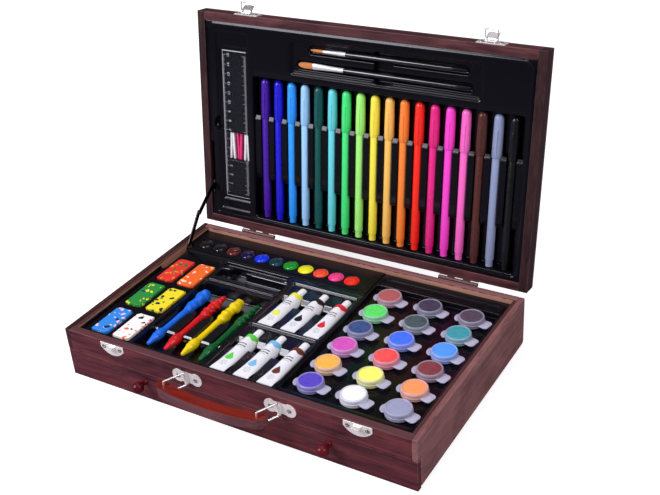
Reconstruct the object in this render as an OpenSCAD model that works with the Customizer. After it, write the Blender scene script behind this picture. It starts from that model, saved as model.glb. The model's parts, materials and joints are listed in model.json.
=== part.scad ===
// Wooden art supply case: a shallow case with a hinged lid, a drawer, a
// swinging handle, two draw latches and formed trays full of art supplies.
// Origin: middle of the case's footprint, on the table. +Z up, front at -Y.
// The lid is drawn open, leaning back against its stay.

/* [Case] */
// Outer width of the case
case_w = 375; // [373:1:420]
// Outer depth of the case, front face to rear face
case_d = 230.6; // [228:0.2:260]
// Height of the case's rim above the table
case_h = 53.5; // [53:0.5:60]
// Thickness of the outer side boards
side_board_t = 5.3; // [4:0.1:7]
// Thickness of the thin liner boards inside the sides
liner_t = 3.4; // [2:0.1:4]
// How far the liners stop below the rim
liner_drop = 0.6; // [0.2:0.1:2]
// Thickness of the upper front board
front_board_t = 8.2; // [7:0.1:10]
// Thickness of the rear board
rear_board_t = 7; // [5:0.1:9]
// Thickness of the shelf over the drawer
shelf_t = 2.5; // [2:0.1:3]
// Thickness of the case's bottom, which stands on the table
bottom_t = 4.5; // [3.5:0.1:5.5]
// Height of the upper front board
front_board_h = 22.5; // [21.5:0.1:24]
// Radius of the rear lower corners of the side boards
side_corner_r = 4; // [1:0.5:6]
// Gap from the table to the side boards
side_lift = 2.2; // [1:0.1:3]

/* [Drawer] */
// Thickness of the drawer's front
drawer_front_t = 5.7; // [5:0.1:8]
// Thickness of the drawer's side and rear boards
drawer_board_t = 5; // [4:0.5:6]
// Thickness of the drawer's bottom
drawer_bottom_t = 2; // [1.5:0.1:3]
// Length of the drawer's box behind its front
drawer_l = 190; // [150:1:200]
// Gap round the drawer's box
drawer_gap = 0.5; // [0.3:0.1:1]
// Gap from the table to the drawer's front
drawer_front_lift = 0.6; // [0.5:0.1:1.5]
// Diameter of a knob's ball
knob_d = 11.8; // [9:0.1:13]
// Diameter of a knob's neck
knob_neck_d = 5.4; // [4:0.1:8]
// Distance from the drawer's front to the middle of the ball
knob_reach = 10.8; // [9:0.1:14]
// Height of the knobs above the table
knob_z = 20.4; // [14:0.1:22]
// Distance between the two knobs
knob_pitch = 198.6; // [140:0.2:260]
// Sideways place of the middle between the knobs
knob_mid_x = 4.8; // [-10:0.1:10]

/* [Lid] */
// Thickness of the closed lid
lid_t = 15.8; // [15:0.1:20]
// Thickness of the lid's panel
lid_panel_t = 3; // [2:0.1:4]
// Angle by which the lid stands open
lid_open_angle = 97.7; // [95:0.1:100]
// Gap between the rims when the lid is closed
rim_gap = 0.3; // [0.2:0.05:0.5]
// Depth of the lid's tray behind the lid's rim
lid_tray_drop = 1.5; // [1.4:0.1:2]

/* [Hinges and stay] */
// Distance from the rear face to the hinge pins
hinge_back = 3.05; // [2.9:0.05:3.5]
// Distance from the rim down to the hinge pins
hinge_drop = 0.3; // [0.2:0.05:0.6]
// Length of one hinge
hinge_l = 41.5; // [30:0.5:60]
// Distance between the middles of the hinges
hinge_pitch = 235; // [180:1:260]
// Outer radius of the hinge knuckles
knuckle_r = 2; // [1.6:0.05:2.1]
// Radius of the hinge pins
hinge_pin_r = 0.9; // [0.7:0.05:1]
// Thickness of the hinge leaves
leaf_t = 0.75; // [0.6:0.05:0.8]
// Height of the hinge leaves on the case
case_leaf_h = 20; // [14:0.5:24]
// Height of the hinge leaves on the lid
lid_leaf_h = 13; // [10:0.5:14]
// Length between the pivots of one stay link
stay_l = 40; // [39:0.1:42]
// Width of a stay link
stay_w = 5.4; // [4.4:0.1:5.8]
// Thickness of a stay link
stay_t = 1; // [0.8:0.1:1.2]
// Distance from the rear face to the stay's lower pivot
stay_low_back = 44.8; // [44.4:0.1:45.2]
// Depth of the stay's lower pivot below the rim
stay_low_drop = 6.7; // [6.4:0.1:7]
// Distance from the lid's hinge edge to the stay's upper pivot
stay_up_v = 45.4; // [45:0.1:45.8]
// Depth of the stay's upper pivot behind the lid's rim
stay_up_depth = 3.2; // [3:0.1:3.5]

/* [Handle] */
// Distance between the two bail pivots
bail_pitch = 99.2; // [80:0.2:140]
// Sideways place of the middle of the handle
handle_mid_x = 8.1; // [-10:0.1:12]
// Distance from the rim down to the middle of the handle plates
handle_drop = 11.1; // [10:0.1:12]
// Length of a bail, pivot to grip
bail_l = 21.6; // [18:0.1:30]
// Angle by which the bails lean to the left
bail_lean = 27; // [0:1:40]
// Wire diameter of the bails
bail_d = 1.8; // [1.4:0.1:2.2]
// Distance from the front face to the bail pivots
bail_stand = 2.4; // [2.2:0.1:3]
// Half the height between a bail's legs
bail_half_h = 6.8; // [6.4:0.1:7.4]
// Thickness of the grip
grip_t = 9.7; // [8:0.1:11]
// Depth of the rebates under the grip's ends, where the bails' lower legs come in
grip_rebate = 1.7; // [1:0.1:2.4]
// How far the middle of the grip's ends hangs below the middle of the plates
grip_drop = 1.2; // [0:0.1:1.5]
// Length of the grip
grip_l = 116; // [112:1:160]
// How far the grip's middle stands out in front of the bails' ends
grip_out = 11.2; // [9:0.2:13]
// Radius of the grip's bow
grip_bow_r = 245; // [200:5:400]
// Width of the grip
grip_w = 11.2; // [9:0.2:13]
// Size of a lobe of the handle plates
handle_lobe_r = 6.7; // [5:0.1:7]

/* [Latches] */
// Distance between the two latches
latch_pitch = 262; // [220:1:300]
// Sideways place of the middle between the latches
latch_mid_x = 2.6; // [-8:0.1:8]
// Width of the latch and catch plates
latch_plate_w = 27.4; // [24:0.1:32]
// Height of the latch and catch plates
latch_plate_h = 12.4; // [11.5:0.1:13]
// Thickness of the sheet metal
sheet_t = 0.8; // [0.6:0.1:0.9]
// Distance from the lid's rim to the loop's bar when it is latched
loop_reach = 4.6; // [4:0.1:5.4]
// Angle by which the lever stands open
lever_open = 30; // [10:1:50]

/* [Trays] */
// Depth of the tray below the case's rim
tray_drop = 5.6; // [5.5:0.1:6.5]
// Thickness of the formed plastic
tray_t = 0.6; // [0.4:0.05:0.7]
// Gap between neighbouring trays
tray_gap = 0.3; // [0.2:0.05:0.5]
// Width of the eraser tray
eraser_tray_w = 56.6; // [56.2:0.2:58]
// Width of the crayon tray
crayon_tray_w = 85.2; // [84.8:0.2:88]
// Width of the tube tray
tube_tray_w = 79; // [78.6:0.2:82]
// Depth of the palette at the rear
palette_d = 44.6; // [38:0.2:48]

/* [Supplies in the case] */
// Diameter of a watercolour pan
pan_d = 16.3; // [14:0.1:17]
// Distance between watercolour pans
pan_pitch = 18.02; // [17.6:0.02:18.6]
// Width of an eraser
eraser_w = 19.4; // [16:0.1:21]
// Length of an eraser
eraser_l = 41; // [36:0.1:46]
// Thickness of an eraser
eraser_h = 11; // [8:0.1:12]
// Length of a figure crayon
crayon_l = 99.6; // [90:0.2:101]
// Diameter of a crayon's figure
crayon_head_d = 13.6; // [12:0.1:16.4]
// Length of a paint tube with its cap
tube_l = 72.5; // [66:0.1:74]
// Diameter of a paint tube
tube_d = 15; // [12:0.1:15.4]
// Distance between paint tubes
tube_pitch = 25.4; // [24:0.1:26]
// Outer diameter of a paint pot's lid
pot_d = 25; // [22:0.1:26]
// Distance between the columns of pots
pot_pitch_x = 42.85; // [41:0.05:43.5]
// Distance between the rows of pots
pot_pitch_y = 30; // [28:0.1:30.5]

/* [Supplies in the lid] */
// Number of markers
marker_n = 18; // [6:1:18]
// Diameter of a marker's cap
marker_cap_d = 9.8; // [9:0.1:11]
// Diameter of a marker's barrel
marker_d = 8.4; // [7:0.1:9]
// Length of a marker
marker_l = 150.7; // [130:0.1:152]
// Distance between markers
marker_pitch = 15.91; // [14:0.01:16]
// Width of the ruler
ruler_w = 30.3; // [25:0.1:32]
// Length of the ruler
ruler_l = 160; // [150:0.5:170]
// Thickness of the ruler
ruler_t = 1.8; // [1.2:0.1:2.2]
// Length of a peg
peg_l = 28.9; // [25:0.1:30]

/* [Hidden] */
$fn = 48;
fine = 96;

seat = 0.05;             // gap between a loose piece and what it lies on
run_fit = 0.05;          // radial clearance of a pin that turns
layer_gap = 0.3;         // gap between flat pieces that slide past each other
front_y = -case_d / 2;
rear_y = case_d / 2;
side_in = case_w / 2 - side_board_t;       // inner face of the side boards
inner_x = side_in - liner_t;               // inner face of the liners
rail_w = side_board_t + liner_t;
front_board_z = case_h - front_board_h;    // lower edge of the upper front board
shelf_top = front_board_z + shelf_t;
tray_top = case_h - tray_drop;
hinge_y = rear_y + hinge_back;
hinge_z = case_h - hinge_drop;
lid_depth = lid_t - lid_panel_t;           // room between the lid's rim and its panel

// ---- Places in the case: x from the left liner, y from the front board ----
tray_x0 = -inner_x;
tray_y0 = front_y + front_board_t;
tray_w = 2 * inner_x;
tray_len = case_d - front_board_t - rear_board_t;
palette_y = tray_len - palette_d;
crayon_tray_x = eraser_tray_w + tray_gap;
tube_tray_x = crayon_tray_x + crayon_tray_w + tray_gap;
pot_tray_x = tube_tray_x + tube_tray_w + tray_gap;
floor_z = shelf_top + tray_t + 0.2;        // top of the deepest pocket floors
pocket_gap = 0.4;                          // gap beside a piece in its pocket
eraser_edge = [1.3, 8.4];                  // from the tray's right and front edges
eraser_space = [6.7, 10.1];                // between erasers, across and along
eraser_last_x = eraser_tray_w - eraser_edge[0] - eraser_w / 2;
eraser_x = [eraser_last_x - eraser_w - eraser_space[0], eraser_last_x];
eraser_row = eraser_l + eraser_space[1];
eraser_y = [for (j = [1:floor((palette_y - eraser_edge[1]) / eraser_row)])
    eraser_edge[1] + eraser_l / 2 + (j - 1) * eraser_row];
crayon_pocket = [crayon_tray_x + 1.4, crayon_tray_x + crayon_tray_w - 1.4];
crayon_edge = [4.3, 3.4];                  // from the figures to the pocket's sides
crayon_x = crayon_pocket[0] + crayon_edge[0] + crayon_head_d / 2;
crayon_pitch = (crayon_pocket[1] - crayon_edge[1] - crayon_head_d / 2 - crayon_x) / 3;
crayon_y = 19.2;
crayon_groove = 5.3;                       // half the width of a groove in the bar
crayon_bar = [41, 82.4];                   // start and end of the cross bar
crayon_room = 8.2;                         // behind the crayons' ends
crayon_bar_z = 43.6;
accessory_pocket = [palette_y - 28.8, palette_y - 11.4];
accessory_depth = 10;
tube_shift = 2.3;                          // of the rows from the tray's middle
tube_x = tube_tray_x + tube_tray_w / 2 + tube_shift - tube_pitch;
tube_front = 8;
tube_row = tube_l + 6.6;
tube_y = [for (j = [1:floor((palette_y - tube_front) / tube_row)])
    tube_front + (j - 1) * tube_row];
tube_bar = [2.3, 38.6];                    // start and end of the bars beside a row
tube_grip_gap = 12;                        // finger gap between the bars and the rear rest
tube_bar_z = 45.6;
pot_edge_x = [24.2, 24.6];                 // room left and right of the pots' middles
pot_edge_y = [27.4, 25];                   // room in front of and behind them
pot_x = pot_tray_x + pot_edge_x[0];
pot_y = pot_edge_y[0];
pot_columns = 1 + floor((tray_w - pot_x - pot_edge_x[1]) / pot_pitch_x);
pot_rows = 1 + floor((tray_len - pot_y - pot_edge_y[1]) / pot_pitch_y);
pot_recess_edge = 16.8;                    // from the outer rows to the recess's edges
pot_floor_z = 42.9;
pan_x = 17.2;
pan_y = palette_y + 17.9;
pan_floor = tray_top - 2;
eraser_floor = tray_top + 1.6 - eraser_h;
handle_z = case_h - handle_drop;

// ---- Slots beside the left liner, where the folded stay lies ----
stay_room = 4.2;                           // round the folded links
stay_head_h = 0.7;
stay_slot_w = 2 * stay_t + 3 * layer_gap + stay_head_h + 1.3;
stay_low_y = tray_len + rear_board_t - stay_low_back;
stay_slot = [stay_low_y - stay_l - stay_w / 2 - stay_room, stay_low_y + stay_w / 2 + stay_room];
stay_slot_z = case_h - 12;
stay_lid_slot = [stay_up_v - stay_w / 2 - stay_room, stay_up_v + stay_l + stay_w / 2 + stay_room];
stay_lid_slot_depth = 7.5;

module at_tray(x, y, z = 0) {
    translate([tray_x0 + x, tray_y0 + y, z]) children();
}

// ---- The open lid. Inside: x as the case, y up from the hinge edge, z out of the lid ----
module open_lid() {
    translate([0, hinge_y, hinge_z]) rotate([-lid_open_angle, 0, 0])
        translate([0, -hinge_back, hinge_drop + rim_gap]) rotate([180, 0, 0]) children();
}
lid_x0 = -inner_x;
lid_y0 = rail_w;
lid_tray_w = 2 * inner_x;
lid_tray_len = case_d - 2 * rail_w;
lid_floor = -lid_depth + tray_t;
cap_l = 41;
marker_x = 69.3;
marker_y = 7.6;
cap_y = marker_y + marker_l - cap_l;
marker_pocket = [56.8, marker_y - 1.2, lid_tray_w - 7, marker_y + marker_l + 2.7];
marker_bar = [50.3, cap_y + 1.2];
marker_bar_depth = 4;
marker_room = marker_pocket[2] - marker_x - marker_cap_d / 2 - 2;
marker_count = min(marker_n, 1 + floor(marker_room / marker_pitch));
marker_z = lid_floor + seat + marker_cap_d / 2;
ruler_pocket = [11.8, 9.3, 51.4, lid_tray_len - 9.9];
ruler_x = 18.5;
ruler_y = (ruler_pocket[1] + ruler_pocket[3] - ruler_l) / 2 - 2.1;
ruler_floor = -4;
ruler_notch = [15.6, ruler_y + ruler_l / 2, 8.5, -7];  // x, y, radius and floor
peg_y = 65;
peg_pocket = [20.6, peg_y, 48, peg_y + peg_l + 2.1];
peg_floor = -11;
// The brushes and their recess share out the room between the markers and the front rail
brush_room = lid_tray_len - marker_pocket[3];
brush_shares = [0.146, 0.345, 0.649, 0.81];
brush_ys = marker_pocket[3] * [1, 1, 1, 1] + brush_room * brush_shares;
brush_recess = [104.8, brush_ys[0], 307.2, brush_ys[3]];
brush_floor = -4;
brush_slot_floor = -7;
brush_finger = [195.8, brush_ys[0] + 1.7, 216.8, brush_ys[3] - 0.9];
brush_finger_floor = -10;

module at_lid(x, y, z = 0) {
    open_lid() translate([lid_x0 + x, lid_y0 + y, z]) children();
}

// ---- Shared shapes ----
module block(from, to) {
    translate(from) cube(to - from);
}

// A thin formed sheet over the outline, with pockets pressed into it.
// boxes: [x0, y0, x1, y1, floor]; rounds: [x, y, radius, floor].
module pockets(boxes, rounds, grow, top) {
    for (b = boxes)
        block([b[0] - grow, b[1] - grow, b[4] - grow], [b[2] + grow, b[3] + grow, top]);
    for (r = rounds)
        translate([r[0], r[1], r[3] - grow]) cylinder(r = r[2] + grow, h = top - r[3] + grow);
}
module formed_tray(from, to, boxes, rounds = []) {
    cut_top = to[2] + 1;
    difference() {
        block(from, to);
        pockets(boxes, rounds, 0, cut_top);
        difference() {
            block([from[0] + tray_t, from[1] + tray_t, from[2] - 1],
                [to[0] - tray_t, to[1] - tray_t, to[2] - tray_t]);
            pockets(boxes, rounds, tray_t, cut_top);
        }
    }
}

// A turned piece lying along +Y: profile points are [radius, distance].
module lying(profile) {
    rotate([-90, 0, 0]) rotate_extrude($fn = 32) polygon(profile);
}
// A round bar along X at a place in the YZ plane
module across(x0, x1, at, r) {
    translate([x0, at[0], at[1]]) rotate([0, 90, 0]) cylinder(r = r, h = x1 - x0);
}
// A flat link between two pivots in the YZ plane, from x = 0 to x = t.
module link(from, to, w, t) {
    d = to - from;
    translate([0, from[0], from[1]]) rotate([atan2(d[1], d[0]), 0, 0]) {
        translate([0, 0, -w / 2]) cube([t, norm(d), w]);
        rotate([0, 90, 0]) cylinder(r = w / 2, h = t);
        translate([0, norm(d), 0]) rotate([0, 90, 0]) cylinder(r = w / 2, h = t);
    }
}
module screw_head(r) {
    difference() {
        union() {
            cylinder(r = r, h = 0.5);
            translate([0, 0, 0.5]) cylinder(r1 = r, r2 = r * 0.55, h = 0.6);
        }
        translate([-r, -0.3, 0.6]) cube([2 * r, 0.6, 1]);
        translate([-0.3, -r, 0.6]) cube([0.6, 2 * r, 1]);
    }
}

// ---- Case ----
module case_front_board() {
    color("#5a2f32") block([-side_in, front_y, front_board_z],
        [side_in, front_y + front_board_t, case_h]);
}
module side_board() {
    notch_d = drawer_front_t + drawer_gap;
    difference() {
        block([0, front_y, side_lift], [side_board_t, rear_y, case_h]);
        block([-1, front_y - 1, side_lift - 1],
            [side_board_t + 1, front_y + notch_d, front_board_z]);
        difference() {
            block([-1, rear_y - side_corner_r, side_lift - 1],
                [side_board_t + 1, rear_y + 1, side_lift + side_corner_r]);
            translate([-2, rear_y - side_corner_r, side_lift + side_corner_r])
                rotate([0, 90, 0]) cylinder(r = side_corner_r, h = side_board_t + 4);
        }
    }
}
module case_left_board() {
    color("#5a2f32") translate([-case_w / 2, 0, 0]) side_board();
}
module case_right_board() {
    color("#784b48") translate([side_in, 0, 0]) side_board();
}
module case_rear_board() {
    color("#5a2f32") block([-side_in, rear_y - rear_board_t, side_lift],
        [side_in, rear_y, case_h]);
}
module liner(x) {
    color("#aa6e55") block([x, tray_y0, shelf_top],
        [x + liner_t, rear_y - rear_board_t, case_h - liner_drop]);
}
module case_left_liner() {
    liner(-side_in);
}
module case_right_liner() {
    liner(inner_x);
}
module case_shelf() {
    color("#b08a68") block([-side_in, tray_y0, front_board_z],
        [side_in, rear_y - rear_board_t, shelf_top]);
}
module case_bottom() {
    color("#b08a68") block([-side_in, front_y + drawer_front_t + drawer_gap, 0],
        [side_in, rear_y - rear_board_t, bottom_t]);
}

// ---- Trays in the case ----
module palette_tray() {
    pan_pockets = [for (i = [0:10])
        [pan_x + i * pan_pitch, pan_y, pan_d / 2 + pocket_gap, pan_floor]];
    slot = [[-1, palette_y - 1, stay_slot_w, stay_slot[1], stay_slot_z]];
    color("#141318") at_tray(0, 0) formed_tray([0, palette_y + tray_gap, shelf_top],
        [pot_tray_x - tray_gap, tray_len, tray_top + 0.8], slot, pan_pockets);
}
module eraser_tray() {
    half = [eraser_w / 2 + pocket_gap, eraser_l / 2 + pocket_gap];
    slots = [for (x = eraser_x, y = eraser_y)
        [x - half[0], y - half[1], x + half[0], y + half[1], eraser_floor]];
    stay = [[-1, stay_slot[0], stay_slot_w, palette_y + 1, stay_slot_z]];
    color("#141318") at_tray(0, 0) formed_tray([0, 0, shelf_top],
        [eraser_tray_w, palette_y, tray_top], concat(slots, stay));
}
module crayon_tray() {
    x0 = crayon_pocket[0];
    x1 = crayon_pocket[1];
    slots = [for (i = [0:3]) [crayon_x + i * crayon_pitch - crayon_groove, crayon_bar[0] - 1,
        crayon_x + i * crayon_pitch + crayon_groove, crayon_bar[1] + 1, floor_z]];
    pocket = [[x0, 9, x1, crayon_bar[0], floor_z],
        [x0, crayon_bar[1], x1, crayon_y + crayon_l + crayon_room, floor_z],
        [x0, crayon_bar[0] - 1, x1, crayon_bar[1] + 1, crayon_bar_z],
        [x0 + 3, accessory_pocket[0], x1, accessory_pocket[1], tray_top - accessory_depth]];
    color("#141318") at_tray(0, 0) formed_tray([crayon_tray_x, 0, shelf_top],
        [crayon_tray_x + crayon_tray_w, palette_y, tray_top], concat(pocket, slots));
}
module tube_tray() {
    half = tube_d / 2 + 0.7;
    slots = [for (i = [0:2], y = tube_y) [tube_x + i * tube_pitch - half, y - 0.6,
        tube_x + i * tube_pitch + half, y + tube_l + 0.6, floor_z]];
    x0 = tube_tray_x + 1.8;
    x1 = tube_tray_x + tube_tray_w - 1.8;
    open = [for (y = tube_y)
        [x0, y + tube_bar[1], x1, y + tube_bar[1] + tube_grip_gap, floor_z]];
    low = [for (y = tube_y) [x0, y + tube_bar[0], x1, y + tube_l + 0.6, tube_bar_z]];
    color("#141318") at_tray(0, 0) formed_tray([tube_tray_x, 0, shelf_top],
        [tube_tray_x + tube_tray_w, palette_y, tray_top], concat(slots, open, low));
}
module pot_tray() {
    cups = [for (i = [0:pot_columns - 1], j = [0:pot_rows - 1])
        [pot_x + i * pot_pitch_x, pot_y + j * pot_pitch_y, pot_cup_r + pocket_gap, floor_z]];
    recess = [[pot_tray_x + 2, pot_y - pot_recess_edge, tray_w - 4.6,
        pot_y + (pot_rows - 1) * pot_pitch_y + pot_recess_edge, pot_floor_z]];
    color("#141318") at_tray(0, 0) formed_tray([pot_tray_x, 0, shelf_top],
        [tray_w, tray_len, tray_top], recess, cups);
}

// ---- Supplies in the case ----
module watercolour_pans() {
    r = pan_d / 2;
    base = pan_floor + seat;
    profile = concat([[0, 0], [r, 0], [r, 2.6]],
        [for (i = [1:6]) [r * cos(i * 15), 2.6 + 2 * sin(i * 15)]]);
    color("#d02020") for (i = [0:10]) at_tray(pan_x + i * pan_pitch, pan_y, base)
        rotate_extrude($fn = 32) polygon(profile);
}
module erasers() {
    c = 3;
    w = eraser_w / 2;
    l = eraser_l / 2;
    color("#e05030") for (x = eraser_x, y = eraser_y)
        at_tray(x, y, eraser_floor + seat) linear_extrude(eraser_h)
            polygon([[-w, -l], [w - c, -l], [w, c - l], [w, l], [c - w, l], [-w, l - c]]);
}
module figure_crayons() {
    h = crayon_head_d / 2;
    neck = crayon_l - 38;
    profile = [[0, 0], [1.8, 0], [2.4, 1], [4.8, 13], [5.4, 16], [5.4, 20], [3.9, 26], [3.7, neck],
        [4.2, neck + 4], [h - 1, neck + 9], [h, neck + 14], [h - 1.4, neck + 20],
        [h - 0.6, neck + 26], [h - 2, neck + 31], [h - 4.4, neck + 35], [2, crayon_l - 0.6],
        [0, crayon_l]];
    color("#2060e0") for (i = [0:3])
        at_tray(crayon_x + i * crayon_pitch, crayon_y, floor_z + seat + h) lying(profile);
}
tube_cap_l = 12;
tube_cap_r = tube_d / 2 - 2.6;
tube_neck_r = tube_cap_r - 0.5;
tube_body_l = tube_l - tube_cap_l - 2.6;
tube_z = floor_z + seat + tube_d / 2;
module paint_tubes() {
    r = tube_d / 2;
    color("#f0f0f0") for (i = [0:2], y = tube_y) at_tray(tube_x + i * tube_pitch, y, tube_z)
        union() {
            hull() {
                translate([-r - 0.5, 0, r - 2.4]) cube([2 * r + 1, 5, 1]);
                translate([0, tube_body_l - 1, 0]) rotate([-90, 0, 0])
                    cylinder(r = r, h = 1, $fn = 32);
            }
            translate([0, tube_body_l, 0]) rotate([-90, 0, 0])
                cylinder(r1 = r, r2 = tube_neck_r, h = 2.6);
        }
}
module tube_caps() {
    color("#ffffff") for (i = [0:2], y = tube_y)
        at_tray(tube_x + i * tube_pitch, y + tube_l - tube_cap_l + seat, tube_z)
            lying([[0, 0], [tube_cap_r, 0], [tube_cap_r, tube_cap_l - 2.6],
                [tube_cap_r - 0.6, tube_cap_l - 0.6], [tube_cap_r - 1.1, tube_cap_l],
                [0, tube_cap_l]]);
}
pot_cup_r = pot_d / 2 - 2.1;
pot_lid_h = 5;
pot_rim_z = tray_top - 1.7;                // where the lid sits on the cup's rim
pot_collar_z = pot_floor_z + 1;            // underside of the cup's collar
module at_pots() {
    for (i = [0:pot_columns - 1], j = [0:pot_rows - 1])
        at_tray(pot_x + i * pot_pitch_x, pot_y + j * pot_pitch_y) children();
}
module pot_cups() {
    z = floor_z + seat;
    wall = 0.8;
    profile = [[0, z], [pot_cup_r - 0.9, z], [pot_cup_r, pot_collar_z],
        [pot_d / 2 - 0.3, pot_collar_z], [pot_d / 2 - 0.3, pot_rim_z],
        [pot_cup_r - wall, pot_rim_z], [pot_cup_r - 0.9 - wall, z + wall], [0, z + wall]];
    color([0.85, 0.87, 0.95, 0.6]) at_pots() rotate_extrude($fn = 32) polygon(profile);
}
module pot_paint() {
    z = floor_z + seat + 0.8;
    color("#3080e0") at_pots() translate([0, 0, z + seat])
        cylinder(r1 = pot_cup_r - 1.75, r2 = pot_cup_r - 1, h = pot_rim_z - 1 - z);
}
module pot_lids() {
    r = pot_d / 2;
    skirt = [[0, pot_lid_h - 1.2], [r - 1.3, pot_lid_h - 1.2], [r - 1.3, 0], [r, 0], [r, 0.9],
        [r - 0.3, 1.1], [r - 0.3, pot_lid_h - 1.2], [r - 1, pot_lid_h - 0.2],
        [r - 1.4, pot_lid_h], [r - 2, pot_lid_h], [r - 2.3, pot_lid_h - 0.4],
        [0, pot_lid_h - 0.4]];
    tab_angle = -12;
    wing_angle = 188;
    color([0.9, 0.92, 0.98, 0.7]) at_pots() translate([0, 0, pot_rim_z]) {
        rotate_extrude($fn = 32) polygon(skirt);
        rotate([0, 0, tab_angle]) difference() {
            linear_extrude(1) polygon([[r - 1, -6.2], [r + 5, -6.2], [r + 7.6, -3.8],
                [r + 7.6, 3.8], [r + 5, 6.2], [r - 1, 6.2]]);
            translate([0, 0, -1]) cylinder(r = r - 0.5, h = 3);
        }
        rotate([0, 0, wing_angle]) difference() {
            linear_extrude(0.8) polygon([[r - 3, -7.4], [r + 3.4, -3.4], [r + 4.2, 0],
                [r + 3.4, 3.4], [r - 3, 7.4]]);
            translate([0, 0, -1]) cylinder(r = r - 0.5, h = 3);
        }
    }
}

// ---- Drawer ----
drawer_x = side_in - drawer_gap;
drawer_z = bottom_t + 0.3;
drawer_top = front_board_z - drawer_gap - 1;
drawer_y = front_y + drawer_front_t;
module drawer_front() {
    color("#5a2f32") block([0.3 - case_w / 2, front_y, drawer_front_lift],
        [case_w / 2 - 0.3, drawer_y, front_board_z - drawer_gap]);
}
module drawer_sides() {
    color("#c39a74") for (x = [-drawer_x, drawer_x - drawer_board_t])
        block([x, drawer_y, drawer_z], [x + drawer_board_t, drawer_y + drawer_l, drawer_top]);
}
module drawer_back() {
    w = drawer_x - drawer_board_t;
    color("#c39a74") block([-w, drawer_y + drawer_l - drawer_board_t, drawer_z],
        [w, drawer_y + drawer_l, drawer_top]);
}
module drawer_bottom() {
    w = drawer_x - drawer_board_t;
    color("#b08a68") block([-w, drawer_y, drawer_z],
        [w, drawer_y + drawer_l - drawer_board_t, drawer_z + drawer_bottom_t]);
}
module drawer_knobs() {
    color("#64202a") for (s = [-1, 1])
        translate([knob_mid_x + s * knob_pitch / 2, front_y, knob_z]) rotate([90, 0, 0]) {
            cylinder(r1 = knob_neck_d / 2 + 0.6, r2 = knob_neck_d / 2, h = 2);
            cylinder(d = knob_neck_d, h = knob_reach);
            translate([0, 0, knob_reach]) sphere(d = knob_d);
        }
}

// ---- Lid ----
module lid_panel() {
    color("#502f33") open_lid() block([-case_w / 2, 0, -lid_t], [case_w / 2, case_d, -lid_depth]);
}
module lid_side_rail(x) {
    color("#50302f") open_lid() block([x, 0, -lid_depth], [x + rail_w, case_d, 0]);
}
module lid_cross_rail(y) {
    color("#50302f") open_lid() block([-inner_x, y, -lid_depth], [inner_x, y + rail_w, 0]);
}
module lid_left_rail() {
    lid_side_rail(-case_w / 2);
}
module lid_right_rail() {
    lid_side_rail(inner_x);
}
module lid_rear_rail() {
    lid_cross_rail(0);
}
module lid_front_rail() {
    lid_cross_rail(case_d - rail_w);
}
module lid_tray() {
    half = marker_d / 2 + pocket_gap;
    mp = marker_pocket;
    cap_half = marker_cap_d / 2 + layer_gap;
    slots = [for (i = [0:marker_count - 1])
        [marker_x + i * marker_pitch - half, marker_bar[0] - 1,
            marker_x + i * marker_pitch + half, cap_y, lid_floor]];
    cap_slots = [for (i = [0:marker_count - 1])
        [marker_x + i * marker_pitch - cap_half, cap_y - layer_gap,
            marker_x + i * marker_pitch + cap_half, marker_bar[1] + 1, lid_floor]];
    markers = [[mp[0], mp[1], mp[2], marker_bar[0], lid_floor],
        [mp[0], marker_bar[1], mp[2], mp[3], lid_floor],
        [mp[0], marker_bar[0] - 1, mp[2], marker_bar[1] + 1, -marker_bar_depth]];
    rp = ruler_pocket;
    pp = peg_pocket;
    br = brush_recess;
    bf = brush_finger;
    others = [[rp[0], rp[1], rp[2], rp[3], ruler_floor],
        [pp[0], pp[1], pp[2], pp[3], peg_floor],
        [br[0], br[1], br[2], br[3], brush_floor],
        [bf[0], bf[1], bf[2], bf[3], brush_finger_floor]];
    brush_slots = [for (b = [small_brush, flat_brush])
        [b[0] - 2, b[1] - b[3] - 1.6, b[0] + b[2] + 2, b[1] + b[3] + 1.6, brush_slot_floor]];
    stay = [[-1, stay_lid_slot[0] - rail_w, stay_slot_w, stay_lid_slot[1] - rail_w,
        -stay_lid_slot_depth]];
    color("#141318") at_lid(0, 0) formed_tray([0, 0, -lid_depth],
        [lid_tray_w, lid_tray_len, -lid_tray_drop],
        concat(markers, slots, cap_slots, others, brush_slots, stay), [ruler_notch]);
}

// ---- Supplies in the lid ----
module at_markers() {
    for (i = [0:marker_count - 1]) at_lid(marker_x + i * marker_pitch, marker_y, marker_z) children();
}
module marker_barrels() {
    r = marker_d / 2;
    color("#e0c020") at_markers() lying([[0, 0], [r - 1.4, 0], [r - 0.7, 0.8], [r - 0.5, 7.6],
        [r, 7.8], [r, marker_l - cap_l], [0, marker_l - cap_l]]);
}
module marker_caps() {
    r = marker_cap_d / 2;
    l = cap_l - seat;
    color("#e0a020") at_markers() translate([0, marker_l - cap_l + seat, 0]) {
        lying([[0, 0], [r, 0], [r, l - 16], [r - 0.3, l - 4], [r - 1, l - 1.6], [r - 2.2, l],
            [0, l]]);
        block([-1.4, 1, r - 1], [1.4, l - 8, r + 0.7]);
    }
}
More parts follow.
